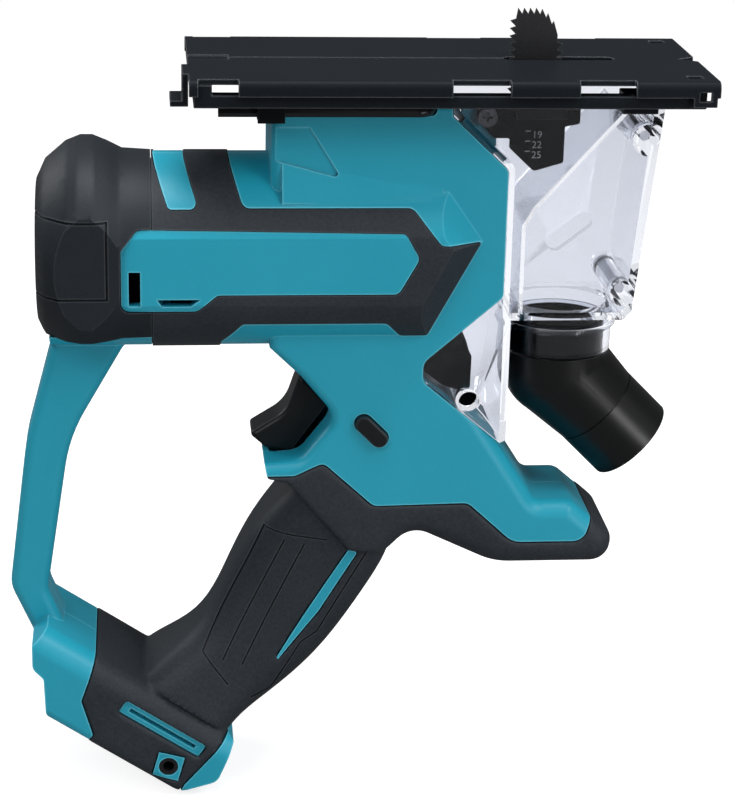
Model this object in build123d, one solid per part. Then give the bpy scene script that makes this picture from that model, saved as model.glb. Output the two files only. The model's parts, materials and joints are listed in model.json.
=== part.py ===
from build123d import *
import os
from math import cos, pi, radians, sin

os.makedirs("parts", exist_ok=True)

# Cordless drywall saw, in millimetres. The origin is on the blade's axis in the working face of the sole.
# X runs along the sole towards the dust box, Y across it, and Z out of the sole along the blade.

# Clearances
slip = 0.3
bearing_fit = 0.04
seat = 0.1
parting = 0.25
overlap = 1.0

# Barrel round the motor
barrel_z = -66.5
barrel_radius = 33.5
barrel_flat = 31.5
barrel_top = barrel_z + barrel_radius + 2
barrel_rear = -166.0
nose_end = -13.0
nose_tip_x = -19.0
nose_tip_z = -58.5
nose_rise = 55.0
nose_fall = -28.0

# Housing walls and half widths
wall = 4.5
rubber = 2.0
rubber_proud = 0.4
panel_groove = 0.7
vent_reach = 20.0
slot_vent_rear = -138.9
slot_vent_front = -135.0
slot_vent_low = -78.3
slot_vent_high = -66.3
neck_half = 22.0
foot_half = 27.0
guard_half = 10.5
edge_round = 3.5
toe_round = 6.0
foot_round = 9.0

# Neck, pillar and toe
neck_top = -10.4
neck_rear = -91.0
seam_x = -11.0
seam_start = -31.0
seam_step = -15.5
seam_high = -34.0
seam_low = -78.5
notch_x = -38.0
notch_z = -105.5
seam_end_z = -132.0
toe_top = -155.3
toe_bottom = -178.5
toe_front = 32.0
arch_x = -40.0
arch_z = -164.3

# Shoulder between neck and barrel, and the hollow above it
shoulder_rear = -30.2
shoulder_front = -40.0
shoulder_end = -33.0
shoulder_low = -44.5
shoulder_lean = 0.285
neck_recess = 0.8

# Foot and guard
foot_front = -174.4
foot_edge_x = -170.0
foot_edge_z = -233.0
foot_low_x = -123.5
foot_low_z = -264.0
foot_top_z = -204.7
foot_height = 28.0
guard_front = -182.3

# Rear cap
cap_end = -170.0
cap_edge = -131.0
cap_low = -92.0
cap_wall = 2.6
cap_bulge = 5.5
cap_side = 34.0
cap_groove = 0.8
cap_face_inset = 9.0
cap_lip = 3.0
cap_lip_inset = 2.5
cap_shoulder = 10.0
cap_crown_start = 15.0
cap_crown_end = 19.0
cap_fall = 24.0
cap_fall_inset = 2.0
cap_waist = 29.0
cap_waist_rise = 1.0
pad_edge = -146.5
pad_top = -49.0
pad_low = -75.2

# Base plate and its bracket
plate_rear = -118.8
plate_front = 55.7
plate_half = 39.5
plate_thick = 2.0
flange_depth = 5.4
flange_bend = 2.5
rail_height = 4.2
rail_width = 6.0
rail_inset = 2.5
slot_width = 6.0
slot_rear = -11.0
slot_front = 27.0
sight_width = 1.2
sight_depth = 0.6
sight_mouth_width = 9.0
sight_mouth_length = 14.0
front_notch_depth = 6.0
front_notch_half = 4.5
edge_window_depth = 3.0
corner_hole_rear = 46.0
corner_hole_front = 51.0
corner_hole_inner = 29.0
corner_hole_outer = 33.0
lug_low = -8.5
lug_length = 8.0
lug_wall = 2.0
rear_hook_left = -28.0
rear_hook_right = -12.0
rear_hook_drop = 9.0
rear_hook_length = 6.0
end_bar = 6.0
shoe_rear = 25.0
shoe_front = 37.0
shoe_drop = 3.0
base_down = 8.0

# Depth guide
rod_radius = 3.5
rod_x = -84.0
rod_y = 12.5
rod_low = -38.0
rod_guide_wall = 3.0
rod_room = 20.0
clamp_z = -21.0
clamp_radius = 2.5
clamp_head_radius = 4.3
clamp_head_height = 4.0
socket_depth = 5.0

# Blade and its drive
blade_tip = 17.2
blade_half = 7.2
blade_thick = 1.2
tooth_height = 2.0
tooth_pitch = 2.6
stroke = 6.0
plunger_x = -28.5
pin_radius = 3.0
pin_spread = 10.0
holder_top = -14.5
holder_low = -22.5
holder_thick = 6.0
blade_screw_radius = 2.5
blade_screw_head_height = 3.0
strap_half = 5.0
strap_thick = 4.0
strap_room_left = -5.8
strap_room_right = 7.4
strap_room_low = -50.0

# Motor
can_radius = 19.5
can_wall = 1.8
can_rear = -136.0
can_front = -82.0
magnet_thick = 3.0
air_gap = 0.6
shaft_radius = 2.5
commutator_radius = 6.5
boss_outer = 8.0
boss_length = 5.0
bearing_outer = 6.0
bearing_length = 6.0
plate_flange = 3.0
core_slots = 7
winding_slot_radius = 2.6
winding_slot_depth = 4.6
winding_mouth_half = 0.8
winding_end = 4.0
brush_rear = 4.0
brush_front = 9.0
brush_half = 2.5
brush_holder_half = 4.0
fan_radius = 24.0
fan_blades = 11
fan_hub_radius = 6.0
fan_disc = 1.5
fan_blade_half = 0.6
can_rib_rear = 8.0
can_rib_front = 12.0
can_rib_width = 3.0

# Gears
gear_module = 0.7
pinion_teeth = 10
gear_teeth = 40
gear_rear = -64.0
gear_width = 8.0
crank_radius = 4.0
roller_radius = 3.2
roller_bore = 1.8
crank_disc_thick = 3.5
crank_disc_gap = 5.0
cup_wall = 2.5
cup_front_wall = 4.0
arm_thick = 5.0

# Depth scale
scale_y = -11.0
scale_thick = 1.5
scale_top = -13.5
scale_low = -36.5
scale_seat_rear = -26.0
scale_seat_front = -14.0
scale_seat_back = -6.5
scale_seat_low = -30.0
scale_screw_x = -17.6
scale_screw_z = -17.5
scale_screw_end = -7.0
scale_screw_head_height = 1.6
index_low = -18.0
index_rear = -8.0
index_front = 9.3
index_thick = 1.8

# Dust box and nozzle
box_half = 21.5
box_wall = 2.2
box_top = -11.5
box_floor = -87.0
box_front_top = 41.5
box_front_low = 34.0
box_edge_x = -8.0
partition_thick = 1.4
box_mouth_left = -13.5
box_mouth_right = 8.5
box_mouth_front = -3.0
recess_depth = 8.0
tube_x = 17.5
tube_z = -65.0
tube_turn = 38.0
tube_length = 19.0
tube_width = 6.5
tube_depth = 6.0
collar_x = 12.0
collar_radius = 19.0
collar_low = -102.0
nozzle_radius = 16.5
nozzle_swell = 2.2
nozzle_groove = 0.4
nozzle_wall = 2.0
nozzle_corner = -110.0
nozzle_length = 40.5
nozzle_tilt = 45.0
nozzle_cuff = 19.0
spigot_length = 10.0
seal_rise = 5.0
seal_half = 1.0
seal_groove_depth = 1.2
lamp_half = 14.0
lens_radius = 4.0
lens_rear = -24.0
lens_front = -20.0

# Trigger, switch and lock button
trigger_x = -82.0
trigger_z = -125.0
trigger_tilt = 36.0
trigger_half = 7.8
trigger_travel = 7.0
trigger_back = 8.0
trigger_room_front = -14.0
trigger_room_back = 8.5
trigger_room_low = -16.6
trigger_room_high = 13.3
stem_across = -3.0
stem_radius = 3.0
stem_end = 19.0
button_along = 22.5
button_across = 14.3
button_length = 14.0
button_width = 6.2
button_turn = 9.0
button_proud = 2.5
switch_half = 8.5
switch_front = 16.5
switch_back = 40.0
switch_low = -14.0
switch_high = 8.0
switch_bore_end = 28.0
switch_post_front = 24.0
switch_post_back = 34.0
switch_post_low = -8.0
switch_post_high = 2.0
switch_post_inset = 1.5

# Hex key
key_flat = 3.0
key_x = -38.0
key_y = -25.6
key_z = -13.2
key_length = 71.0
key_short = 18.0
key_bend = 5.0
key_clip_x = -91.6
key_clip_half = 4.5
key_clip_wall = 1.0
key_clip_drop = 3.0
key_clip_gap = 0.5
key_clip_roof = 2.2

# Screws and threaded inserts
screw_shank = 1.7
screw_head = 3.4
screw_head_height = 2.6
screw_end = -9.5
screw_seat = 9.0
screw_room = 0.5
boss_radius = 4.2
hook_x = -126.6
hook_z = -253.3
hook_radius = 2.0
hook_depth = 8.0
hook_nut_wall = 1.4
hook_nut_sunk = 0.3
hook_square = 9.5
hook_square_turn = 15.0
hook_groove_start = 20.5
hook_groove_end = 54.5
hook_groove_high = 18.3
hook_groove_width = 5.0
hook_groove_depth = 1.2
hook_slot_width = 1.6
hook_slot_depth = 3.0
hook_slot_inset = 3.0

# Battery channel in the foot, its terminals and the board on its roof
channel_front = 10.0
channel_half = 17.0
channel_mouth = 14.0
channel_depth = 9.0
channel_lip = 4.0
channel_roof = 3.0
channel_wall = 3.0
channel_back = 6.0
channel_past = 20.0
terminal_half = 12.0
terminal_depth = 9.0
terminal_length = 10.0
terminal_spread = 8.0
terminal_thick = 1.0
board_rear = 8.0
board_front = 42.0
board_half = 15.0
board_thick = 1.6

# Larger than the whole object, for cuts that run right through
far = 400.0


def save(name, shape):
    """Writes one named piece."""
    export_step(shape, f"parts/{name}.step")


def outline(corners):
    """A closed outline in the side plane, each corner given as x, z and the radius of its arc."""
    points = [(x, z) for x, z, radius in corners]
    return make_face(FilletPolyline(*points, radius=[corner[2] for corner in corners], close=True))


def slab(corners, half_width, inset=0):
    """A plate of that outline, even about the mid plane and drawn in all round by the inset."""
    face = outline(corners)
    if inset:
        face = offset(face, amount=-inset, kind=Kind.INTERSECTION)
    return extrude(Plane.XZ * face, half_width - inset, both=True)


def block(x0, x1, y0, y1, z0, z1):
    """A box between two corners."""
    return Pos((x0 + x1) / 2, (y0 + y1) / 2, (z0 + z1) / 2) * Box(abs(x1 - x0), abs(y1 - y0), abs(z1 - z0))


def rod_x_axis(x0, x1, radius, y, z):
    """A round bar along X."""
    return Pos((x0 + x1) / 2, y, z) * Rot(0, 90, 0) * Cylinder(radius, abs(x1 - x0))


def rod_y_axis(y0, y1, radius, x, z):
    """A round bar along Y."""
    return Pos(x, (y0 + y1) / 2, z) * Rot(90, 0, 0) * Cylinder(radius, abs(y1 - y0))


def rod_z_axis(z0, z1, radius, x, y):
    """A round bar along Z."""
    return Pos(x, y, (z0 + z1) / 2) * Cylinder(radius, abs(z1 - z0))


def turned(profile, z):
    """A solid of revolution round the X axis at height z, from x and radius pairs."""
    face = make_face(Polyline(*profile, close=True))
    return revolve(Plane.XZ * Pos(0, z) * face, Axis((0, 0, z), (1, 0, 0)))


def soften(shape, half_width, radius, keep):
    """Rounds those edges of a plate's two side faces whose middle satisfies keep."""
    chosen = []
    for edge in shape.edges():
        on_side = all(abs(abs((edge @ t).Y) - half_width) < 1e-3 for t in (0, 0.5, 1))
        if on_side and keep((edge @ 0.5).X, (edge @ 0.5).Z):
            chosen.append(edge)
    return fillet(chosen, radius)


def tilted(u, v):
    """A point given along the trigger's travel and across it, as x and z."""
    along, across = cos(radians(trigger_tilt)), sin(radians(trigger_tilt))
    return (trigger_x + u * along + v * across, trigger_z - u * across + v * along)


def tilted_plate(u0, u1, v0, v1, half_width, y=0):
    """A box that lies along the trigger's travel."""
    corners = [(*tilted(u, v), 0) for u, v in ((u0, v0), (u1, v0), (u1, v1), (u0, v1))]
    return Pos(0, y, 0) * slab(corners, half_width)


# Outlines of the housing in the side view: x, z and corner radius
neck_corners = [
    (neck_rear, neck_top, 3),
    (seam_start, neck_top, 0),
    (seam_start + 0.5, seam_step, 0),
    (seam_x, seam_high, 3),
    (seam_x, seam_low, 3),
    (notch_x, notch_z + 3.5, 5),
    (notch_x, notch_z - 3.5, 5),
    (seam_x + 0.5, seam_end_z, 0),
    (4.4, toe_top, 4.5),
    (toe_front - 15, toe_top, 6),
    (toe_front, toe_top - 13, 4.5),
    (toe_front, toe_bottom, 7),
    (arch_x + 30, toe_bottom, 25),
    (arch_x, arch_z, 9),
    (arch_x - 8.5, arch_z - 8.5, 0),
    (-62, -172, 0),
    (-84, -146, 0),
    (-91.5, -144.3, 1.5),
    (-92.5, -139.5, 0),
    (-80, -138.5, 8),
    (-67.5, -122.5, 7),
    (-80, -107.5, 6),
    (neck_rear, -97, 0),
]
grip_sections = [
    ((-79, -146.5), (-46, -163), 21, 9),
    ((-94.6, -167.6), (-54.9, -190.5), 18.5, 12),
    ((-103.3, -183.8), (-63.7, -205.3), 17.5, 13),
    ((-111.3, -200.5), (-76, -220.4), 18, 13),
    ((-121.2, -212.1), (-91.2, -232.5), 20.5, 12),
    ((-134.5, -223.2), (-104.5, -243.5), 24.5, 10),
]
foot_corners = [
    (foot_front, foot_top_z, 0),
    (foot_front, foot_top_z - 8.8, 4),
    (foot_edge_x - 0.6, foot_top_z - 12.8, 2),
    (foot_edge_x, foot_edge_z, 5),
    (foot_low_x, foot_low_z, 5),
    (foot_low_x + 14.5, foot_low_z + 4, 5),
    (-103, -246, 0),
    (-112, -232, 0),
    (foot_front + 9, foot_top_z + 8, 0),
]
guard_corners = [
    (-163, -88, 0),
    (guard_front + 6.8, -135, 90),
    (guard_front, -189, 12),
    (foot_front + 2, foot_top_z - 7, 0),
    (foot_front + 14, foot_top_z - 7, 0),
    (guard_front + 13.3, -190.5, 9),
    (guard_front + 22.1, -133, 60),
    (-140.7, -99, 8),
    (-120, -88, 0),
]
neck_recess_corners = [
    (neck_rear - 1, -19.3, 0),
    (-78.4, -19.3, 1),
    (-67.5, -36.5, 1),
    (neck_rear - 1, -29.9, 0),
]

# Notch for the lamp in the front of the pillar
lamp_notch_corners = [
    (notch_x + 48, notch_z + 3.5 + 48 * 23.5 / 27, 0),
    (notch_x, notch_z + 3.5, 5),
    (notch_x, notch_z - 3.5, 5),
    (notch_x + 48, notch_z - 3.5 - 48 * 23 / 27.5, 0),
]

# Outlines of the soft overmould and of the bare side panel
barrel_rubber_corners = [
    (-125, -20, 0),
    (-109.5, -20, 0),
    (-100.5, -45.7, 3),
    (-43.5, -45.7, 4),
    (-34, -57.5, 2),
    (-19, -58.5, 1),
    (-37, -92, 2),
    (-46.5, -92, 2),
    (-51.5, -86, 3),
    (-100.6, -86, 2),
    (-107.5, -95, 1),
    (-107.5, -99.5, 0),
    (cap_edge - parting, -99.5, 0),
    (cap_edge - parting, barrel_top, 0),
    (-125.5, -46, 1.5),
    (-115.5, -46, 2),
]
panel_corners = [
    (-141.4, -59, 2),
    (-136, -52, 3),
    (-46.2, -53.5, 2),
    (-41.3, -62, 3),
    (-48.2, -74.4, 3),
    (-109.3, -74.4, 3),
    (-116.2, -80.3, 3),
    (-141.4, -80.3, 3),
]
grip_rubber_corners = [
    (-100, -143.5, 0),
    (-82, -143.3, 4),
    (-72, -138.5, 3),
    (-54, -155, 4),
    (-20.5, -154.3, 5),
    (-4, -169.5, 8),
    (21, -169.5, 5),
    (27, -156, 0),
    (50, -150, 0),
    (50, -200, 0),
    (-70, -240, 0),
    (-104, -242, 0),
    (-121, -261, 2),
    (-130, -280, 0),
    (-165, -255, 0),
    (-153.5, -240, 2),
    (-157.5, -226.5, 2),
    (-149.5, -203, 12),
    (-150, -188, 0),
]
vent_corners = [
    (-129.5, -75.9, 0),
    (-115, -75.9, 0),
    (-118.3, -78.4, 0),
    (-127.8, -78.4, 0),
]
stripe_corners = [
    (-62.3, -172.6, 0.8),
    (-59.1, -173.5, 0.8),
    (-72.6, -197.2, 20),
    (-91.2, -221.2, 0.4),
]

# Foot frame: along the bottom face and up from it
foot_start = Vector(foot_edge_x, 0, foot_edge_z)
foot_run = Vector(foot_low_x, 0, foot_low_z) - foot_start
foot_plane = Plane(origin=foot_start, x_dir=foot_run, z_dir=Vector(0, 1, 0).cross(foot_run) * -1)


def foot_section(inset):
    """A bar along the foot with its rounded cross-section, drawn in by the inset."""
    side, top = foot_half - inset, foot_height - inset
    low, high = max(edge_round - inset, 0), foot_round - inset
    corners = [(-side, inset), (side, inset), (side, top), (-side, top)]
    face = make_face(FilletPolyline(*corners, radius=[low, low, high, high], close=True))
    plane = Plane(origin=foot_start - foot_run, x_dir=(0, 1, 0), z_dir=foot_run)
    return plane * extrude(face, 3 * foot_run.length)


def nose_facet(angle, side, inset):
    """The space outside one slanting facet of the barrel's nose, on one side."""
    outward = Vector(cos(radians(angle)), side, sin(radians(angle)))
    plane = Plane(origin=(nose_tip_x, side * neck_half, nose_tip_z), z_dir=outward)
    return plane * Pos(0, 0, far / 2 - inset) * Box(far, far, far)


def shoulder(side, inset):
    """The slanting facet between the neck's side and the barrel, on one side."""
    start = Vector(neck_rear, side * neck_half, shoulder_rear)
    ahead = Vector(shoulder_end - neck_rear, 0, shoulder_front - shoulder_rear)
    down = Vector(0, side * shoulder_lean, -1)
    edge_plane = Plane(origin=start, z_dir=ahead.cross(down) * side)
    outside = edge_plane * Pos(0, 0, far / 2 - inset) * Box(far, far, far)
    bar = block(neck_rear + edge_round, shoulder_end, 0, side * barrel_radius, shoulder_low, shoulder_rear)
    return bar - outside


def grip_section(index, inset):
    """One rounded cross-section of the grip, the two end ones moved on by the inset."""
    front, back, half_width, corner = grip_sections[index]
    run = Vector(back[0] - front[0], 0, back[1] - front[1])
    up = run.cross(Vector(0, 1, 0)).normalized()
    middle = Vector((front[0] + back[0]) / 2, 0, (front[1] + back[1]) / 2)
    ends = {0: inset, len(grip_sections) - 1: -inset}
    plane = Plane(origin=middle + up * ends.get(index, 0), x_dir=run, z_dir=up)
    return plane * RectangleRounded(run.length - 2 * inset, 2 * (half_width - inset), corner - inset)


def body(inset):
    """The outer form of both housing halves together, drawn in by the inset."""
    barrel = rod_x_axis(barrel_rear + inset, nose_end - inset, barrel_radius - inset, 0, barrel_z)
    barrel = barrel & Box(far * 2, 2 * (barrel_flat - inset), far * 2)
    for side in (-1, 1):
        barrel = barrel - nose_facet(90 - nose_rise, side, inset) - nose_facet(nose_fall, side, inset)
    barrel = barrel - through(lamp_notch_corners, -inset)
    neck = slab(neck_corners, neck_half, inset)
    grip = loft([grip_section(i, inset) for i in range(len(grip_sections))])
    foot = slab(foot_corners, foot_half + 2, inset) & foot_section(inset)
    if inset <= rubber:
        neck = soften(neck, neck_half - inset, toe_round - inset, on_toe)
    if inset < rubber:
        neck = soften(neck, neck_half - inset, edge_round - inset, on_neck)
        neck = neck + shoulder(-1, inset) + shoulder(1, inset)
        guard = slab(guard_corners, guard_half, inset)
        guard = soften(guard, guard_half - inset, edge_round - inset, on_guard)
        foot = foot + guard
    return barrel + neck + grip + foot


def on_toe(x, z):
    """The broad rounded edges of the pillar's foot, the toe and the arch under it."""
    toe = x > seam_x + 2 and z < seam_end_z
    arch = x > arch_x - 2 and z < toe_top - 5
    return toe or arch


def on_neck(x, z):
    """The rounded edges of the trigger hollow and of the neck's rear."""
    hollow = x < -60 and -139 < z < -98
    rear = x < neck_rear + 2 and z > -98
    return hollow or rear


def on_guard(x, z):
    """The rounded edges of the hand guard, clear of its two roots."""
    return x < -139 and -203 < z < -101


def through(corners, inset=0):
    """The space over an outline, right across the body."""
    return slab(corners, far / 4 + inset, inset)


left_side = block(-far, far, -far, 0, -far, far)
right_side = block(-far, far, 0, far, -far, far)

outer = body(0)
core = body(rubber)
hollow = body(wall)
proud = body(-rubber_proud)

# Rear cap: a rubber cup over the motor end, notched for the side panels
cap_radius = barrel_radius - cap_wall
cap_floor = barrel_rear + cap_wall
cap_ring = [
    (-far, 0),
    (-far, far),
    (cap_edge, far),
    (cap_edge, cap_radius),
    (cap_floor, cap_radius),
    (cap_floor, 0),
]
cap_space = turned(cap_ring, barrel_z) & block(-far, far, -far, far, cap_low, far)
cap_space = cap_space - through(panel_corners)


def cap_form(inset):
    """The cap's outer form, flattened on both sides and drawn in by the inset."""
    bulge = barrel_radius + cap_bulge - inset
    profile = [
        (cap_end + inset, 0),
        (cap_end + inset, barrel_radius - cap_face_inset),
        (cap_end + inset + cap_lip, barrel_radius - cap_lip_inset),
        (cap_end + inset + cap_shoulder, bulge - cap_fall_inset),
        (cap_end + cap_crown_start, bulge),
        (cap_end + cap_crown_end, bulge),
        (cap_end + cap_fall, bulge - cap_fall_inset),
        (cap_end + cap_waist, barrel_radius + cap_waist_rise - inset),
        (cap_edge - parting, barrel_radius + rubber_proud - inset),
        (cap_edge - parting, 0),
    ]
    return turned(profile, barrel_z) & Box(far * 2, 2 * (cap_side - inset), far * 2)


rear_cap = (cap_form(0) & cap_space) - through(panel_corners, -parting)
rear_cap = rear_cap & block(-far, far, -far, far, cap_low + parting, far)
slits = block(pad_edge, pad_edge + cap_groove, -far, far, pad_low, pad_top)
for groove_z in (pad_low, pad_top):
    low, high = groove_z - cap_groove / 2, groove_z + cap_groove / 2
    slits += block(-far, pad_edge + cap_groove, -far, far, low, high)
rear_cap = rear_cap - (slits - cap_form(cap_groove))
save("rear_cap", rear_cap)

# Places of the screws that hold the halves together
housing_screw_places = [
    (-70, -22),
    (-42, -22),
    (-150, -86),
    (-64, -104),
    (-47, -112),
    (-26, -161),
    (16, -167.5),
    (-95, -190),
    (-163, -212),
    (-113, -246),
]


def foot_block(a0, a1, half_width, n0, n1, y=0):
    """A box in the foot's frame: along the bottom face, across it and up from it."""
    box = Pos((a0 + a1) / 2, y, (n0 + n1) / 2) * Box(a1 - a0, 2 * half_width, n1 - n0)
    return foot_plane * box


channel_end = foot_run.length - channel_front
channel_top = channel_depth + channel_roof

# Crank and gear places
crank_z = barrel_z + gear_module * (pinion_teeth + gear_teeth) / 2
cover_rear = gear_rear - 5
cover_front = gear_rear - 2
yoke_rear = plunger_x - 4
yoke_front = plunger_x + 5
strap_front = yoke_front + strap_thick
arm_front = yoke_front - slip

# Inner ribs, bosses and seats of the housing
ribs = Part()
for rib_x in (can_rear + can_rib_rear, can_front - can_rib_front):
    rib_end = rib_x + can_rib_width
    rib = rod_x_axis(rib_x, rib_end, barrel_radius - wall + overlap, 0, barrel_z)
    rib = rib & Box(far * 2, 2 * (barrel_flat - rubber - overlap), far * 2)
    ribs += rib - rod_x_axis(rib_x - overlap, rib_end + overlap, can_radius + seat, 0, barrel_z)
for x, z in housing_screw_places:
    ribs += rod_y_axis(-foot_half, foot_half, boss_radius, x, z) & core
for side in (-1, 1):
    guide_low, guide_high = rod_low + base_down, neck_top - overlap
    ribs += rod_z_axis(guide_low, guide_high, rod_radius + rod_guide_wall, rod_x, side * rod_y)
    post_half = (neck_half - switch_half) / 2 - switch_post_inset
    post_y = (neck_half + switch_half) / 2 - switch_post_inset + seat
    post = tilted_plate(switch_post_front, switch_post_back, switch_post_low, switch_post_high, post_half)
    ribs += Pos(0, side * post_y, 0) * post
scale_back = scale_y + scale_thick / 2
ribs += block(scale_seat_rear, scale_seat_front, scale_back, scale_seat_back, scale_seat_low, scale_top)
channel_box_half = channel_half + channel_wall
ribs += foot_block(overlap, channel_end + channel_back, channel_box_half, overlap, channel_top) & core

# Holes through the housing
cuts = Part()
trigger_room_end = trigger_room_back + trigger_travel
cuts += tilted_plate(
    trigger_room_front, trigger_room_end, trigger_room_low, trigger_room_high, trigger_half + slip
)
button_outline = SlotOverall(button_length + 2 * slip, button_width + 2 * slip)
button_x, button_z = tilted(button_along, button_across)
button_place = Plane.XZ * Pos(button_x, button_z) * Rot(0, 0, -trigger_tilt - button_turn)
cuts += extrude(button_place * button_outline, far, both=True)
strap_room_rear, strap_room_front = yoke_front - overlap, strap_front + overlap
strap_room_high = neck_top + 10 * overlap
cuts += block(
    strap_room_rear, strap_room_front, strap_room_left, strap_room_right, strap_room_low, strap_room_high
)
cuts += rod_y_axis(key_y, key_y + key_short + overlap, key_flat * 0.6 + slip, key_x, key_z)
cuts += through(vent_corners) - Box(far * 2, 2 * vent_reach, far * 2)
for side in (-1, 1):
    cuts += rod_z_axis(rod_low - rod_room, neck_top + overlap, rod_radius + bearing_fit, rod_x, side * rod_y)
    vent_in, vent_out = side * vent_reach, side * far
    cuts += block(slot_vent_rear, slot_vent_front, vent_in, vent_out, slot_vent_low, slot_vent_high)
    nut_room = side * (foot_half - hook_depth - screw_room)
    cuts += rod_y_axis(nut_room, side * far, hook_radius + hook_nut_wall + seat, hook_x, hook_z)
    for width, depth, end in (
        (hook_groove_width, hook_groove_depth, 0),
        (hook_slot_width, hook_groove_depth + hook_slot_depth, hook_slot_inset),
    ):
        low, high = hook_groove_high - width / 2, hook_groove_high + width / 2
        half_depth = (depth + overlap) / 2
        middle = side * (foot_half + overlap - half_depth)
        cuts += foot_block(hook_groove_start + end, hook_groove_end - end, half_depth, low, high, middle)
cuts += rod_y_axis(rod_y, far, clamp_radius + seat, rod_x, clamp_z)
cuts += rod_y_axis(scale_y, scale_screw_end + overlap, screw_shank, scale_screw_x, scale_screw_z)
cuts += foot_block(-channel_past, channel_end, channel_mouth, -channel_past, channel_lip + overlap)
cuts += foot_block(-channel_past, channel_end, channel_half, channel_lip, channel_depth)

screw_cuts = Part()
for x, z in housing_screw_places:
    screw_cuts += rod_y_axis(screw_end - screw_room, far, screw_shank + seat, x, z)
    screw_cuts += rod_y_axis(screw_seat, far, screw_head + seat, x, z)


def hook_windows(margin):
    """The openings in the foot's overmould: the belt hook's groove and the square round its nut."""
    low = hook_groove_high - hook_groove_width / 2 - margin
    high = hook_groove_high + hook_groove_width / 2 + margin
    groove = foot_block(hook_groove_start - margin, hook_groove_end + margin, far / 4, low, high)
    size = hook_square + 2 * margin
    square = Plane.XZ * Pos(hook_x, hook_z) * Rot(0, 0, -hook_square_turn) * Rectangle(size, size)
    return groove + extrude(square, far / 4, both=True)


# Soft overmould zones
barrel_zone = through(barrel_rubber_corners) - through(panel_corners)
grip_zone = through(grip_rubber_corners) - through(stripe_corners) - hook_windows(0)
barrel_soft = through(barrel_rubber_corners, parting) - through(panel_corners, -parting)
grip_soft = through(grip_rubber_corners, parting) - through(stripe_corners, -parting) - hook_windows(parting)

# Grooves of the grip's side panel
panel_paths = [
    FilletPolyline((-70, -168.5), (-92, -165.5), (-114, -212), (-105, -224), radius=3),
    Polyline((-85, -168.5), (-107, -215)),
    Polyline((-78, -170), (-100, -217)),
    FilletPolyline(
        (-55.5, -172.4), (-72.9, -205.3), (-78.9, -209.2), (-89.6, -227.7), (-96.8, -230), radius=2
    ),
]
panel_grooves = Part()
for path in panel_paths:
    panel_grooves += extrude(Plane.XZ * trace(path, panel_groove), far / 4, both=True)
panel_grooves = panel_grooves - body(panel_groove)

shell = outer - cap_space - ((outer - core) & (barrel_zone + grip_zone))
shell = shell - hollow + ribs - cuts - screw_cuts - cap_space
shell = shell - (through(neck_recess_corners) - Box(far * 2, 2 * (neck_half - neck_recess), far * 2))
skin = proud - core - cap_space - cuts - screw_cuts
barrel_skin = skin & barrel_soft
grip_skin = (skin & grip_soft) - panel_grooves

halves = {"left": left_side, "right": right_side}
for side, half in halves.items():
    save(f"housing_{side}", shell & half)
    save(f"barrel_rubber_{side}", barrel_skin & half)
    save(f"grip_rubber_{side}", grip_skin & half)

# Housing screws: countersunk into the right half, threaded into bosses of the left half
housing_screws = Part()
for x, z in housing_screw_places:
    housing_screws += rod_y_axis(screw_end, screw_seat, screw_shank, x, z)
    housing_screws += rod_y_axis(screw_seat, screw_seat + screw_head_height, screw_head, x, z)
save("housing_screws", housing_screws)

# Threaded inserts in both sides of the foot, for a belt hook
hook_nuts = Part()
for side in (-1, 1):
    near, deep = side * (foot_half - hook_nut_sunk), side * (foot_half - hook_depth - hook_nut_sunk)
    nut = rod_y_axis(near, deep, hook_radius + hook_nut_wall, hook_x, hook_z)
    hook_nuts += nut - rod_y_axis(side * far, deep, hook_radius, hook_x, hook_z)
save("hook_nuts", hook_nuts)

# Motor can with its front bearing boss, magnets and front bearing
can_inner = can_radius - can_wall
boss_front = can_front + boss_length
can_profile = [
    (can_rear, can_inner),
    (can_rear, can_radius),
    (can_front, can_radius),
    (can_front, boss_outer),
    (boss_front, boss_outer),
    (boss_front, bearing_outer),
    (boss_front - bearing_length, bearing_outer),
    (boss_front - bearing_length, bearing_outer - 1),
    (can_front - 2, bearing_outer - 1),
    (can_front - 2, can_inner),
]
save("motor_can", turned(can_profile, barrel_z))


def ring_x_axis(x0, x1, inner, outer_radius, z):
    """A plain ring along X at height z."""
    return turned([(x0, inner), (x0, outer_radius), (x1, outer_radius), (x1, inner)], z)


core_rear = can_rear + 15
core_front = can_front - 11
magnet_inner = can_inner - magnet_thick
magnets = ring_x_axis(core_rear - 3, core_front + 3, magnet_inner, can_inner - seat / 2, barrel_z)
magnets = magnets - block(-far, far, -far, far, barrel_z - 5, barrel_z + 5)
save("motor_magnets", magnets)
bearing_bore = shaft_radius + bearing_fit
front_bearing = ring_x_axis(boss_front - bearing_length, boss_front, bearing_bore, bearing_outer, barrel_z)
save("front_motor_bearing", front_bearing)

# Brush plate, its bearing and the two brushes
flange_rear = can_rear - plate_flange
boss_rear = flange_rear - bearing_length
plate_profile = [
    (boss_rear, bearing_outer),
    (boss_rear, boss_outer),
    (flange_rear, boss_outer),
    (flange_rear, can_radius),
    (can_rear, can_radius),
    (can_rear, can_inner - seat),
    (can_rear + plate_flange, can_inner - seat),
    (can_rear + plate_flange, commutator_radius + 2.5),
    (can_rear - 2, commutator_radius + 2.5),
    (can_rear - 2, bearing_outer - 1),
    (flange_rear, bearing_outer - 1),
    (flange_rear, bearing_outer),
]
brush_plate = turned(plate_profile, barrel_z)
brushes = Part()
brush_low = commutator_radius + slip
holder_inner = commutator_radius + 2
holder_outer = can_inner - magnet_thick
holder_rear = can_rear + overlap
holder_end = can_rear + brush_front + overlap
brush_high = holder_outer - overlap
brush_x0, brush_x1 = can_rear + brush_rear, can_rear + brush_front
pocket_half = brush_half + seat
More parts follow.
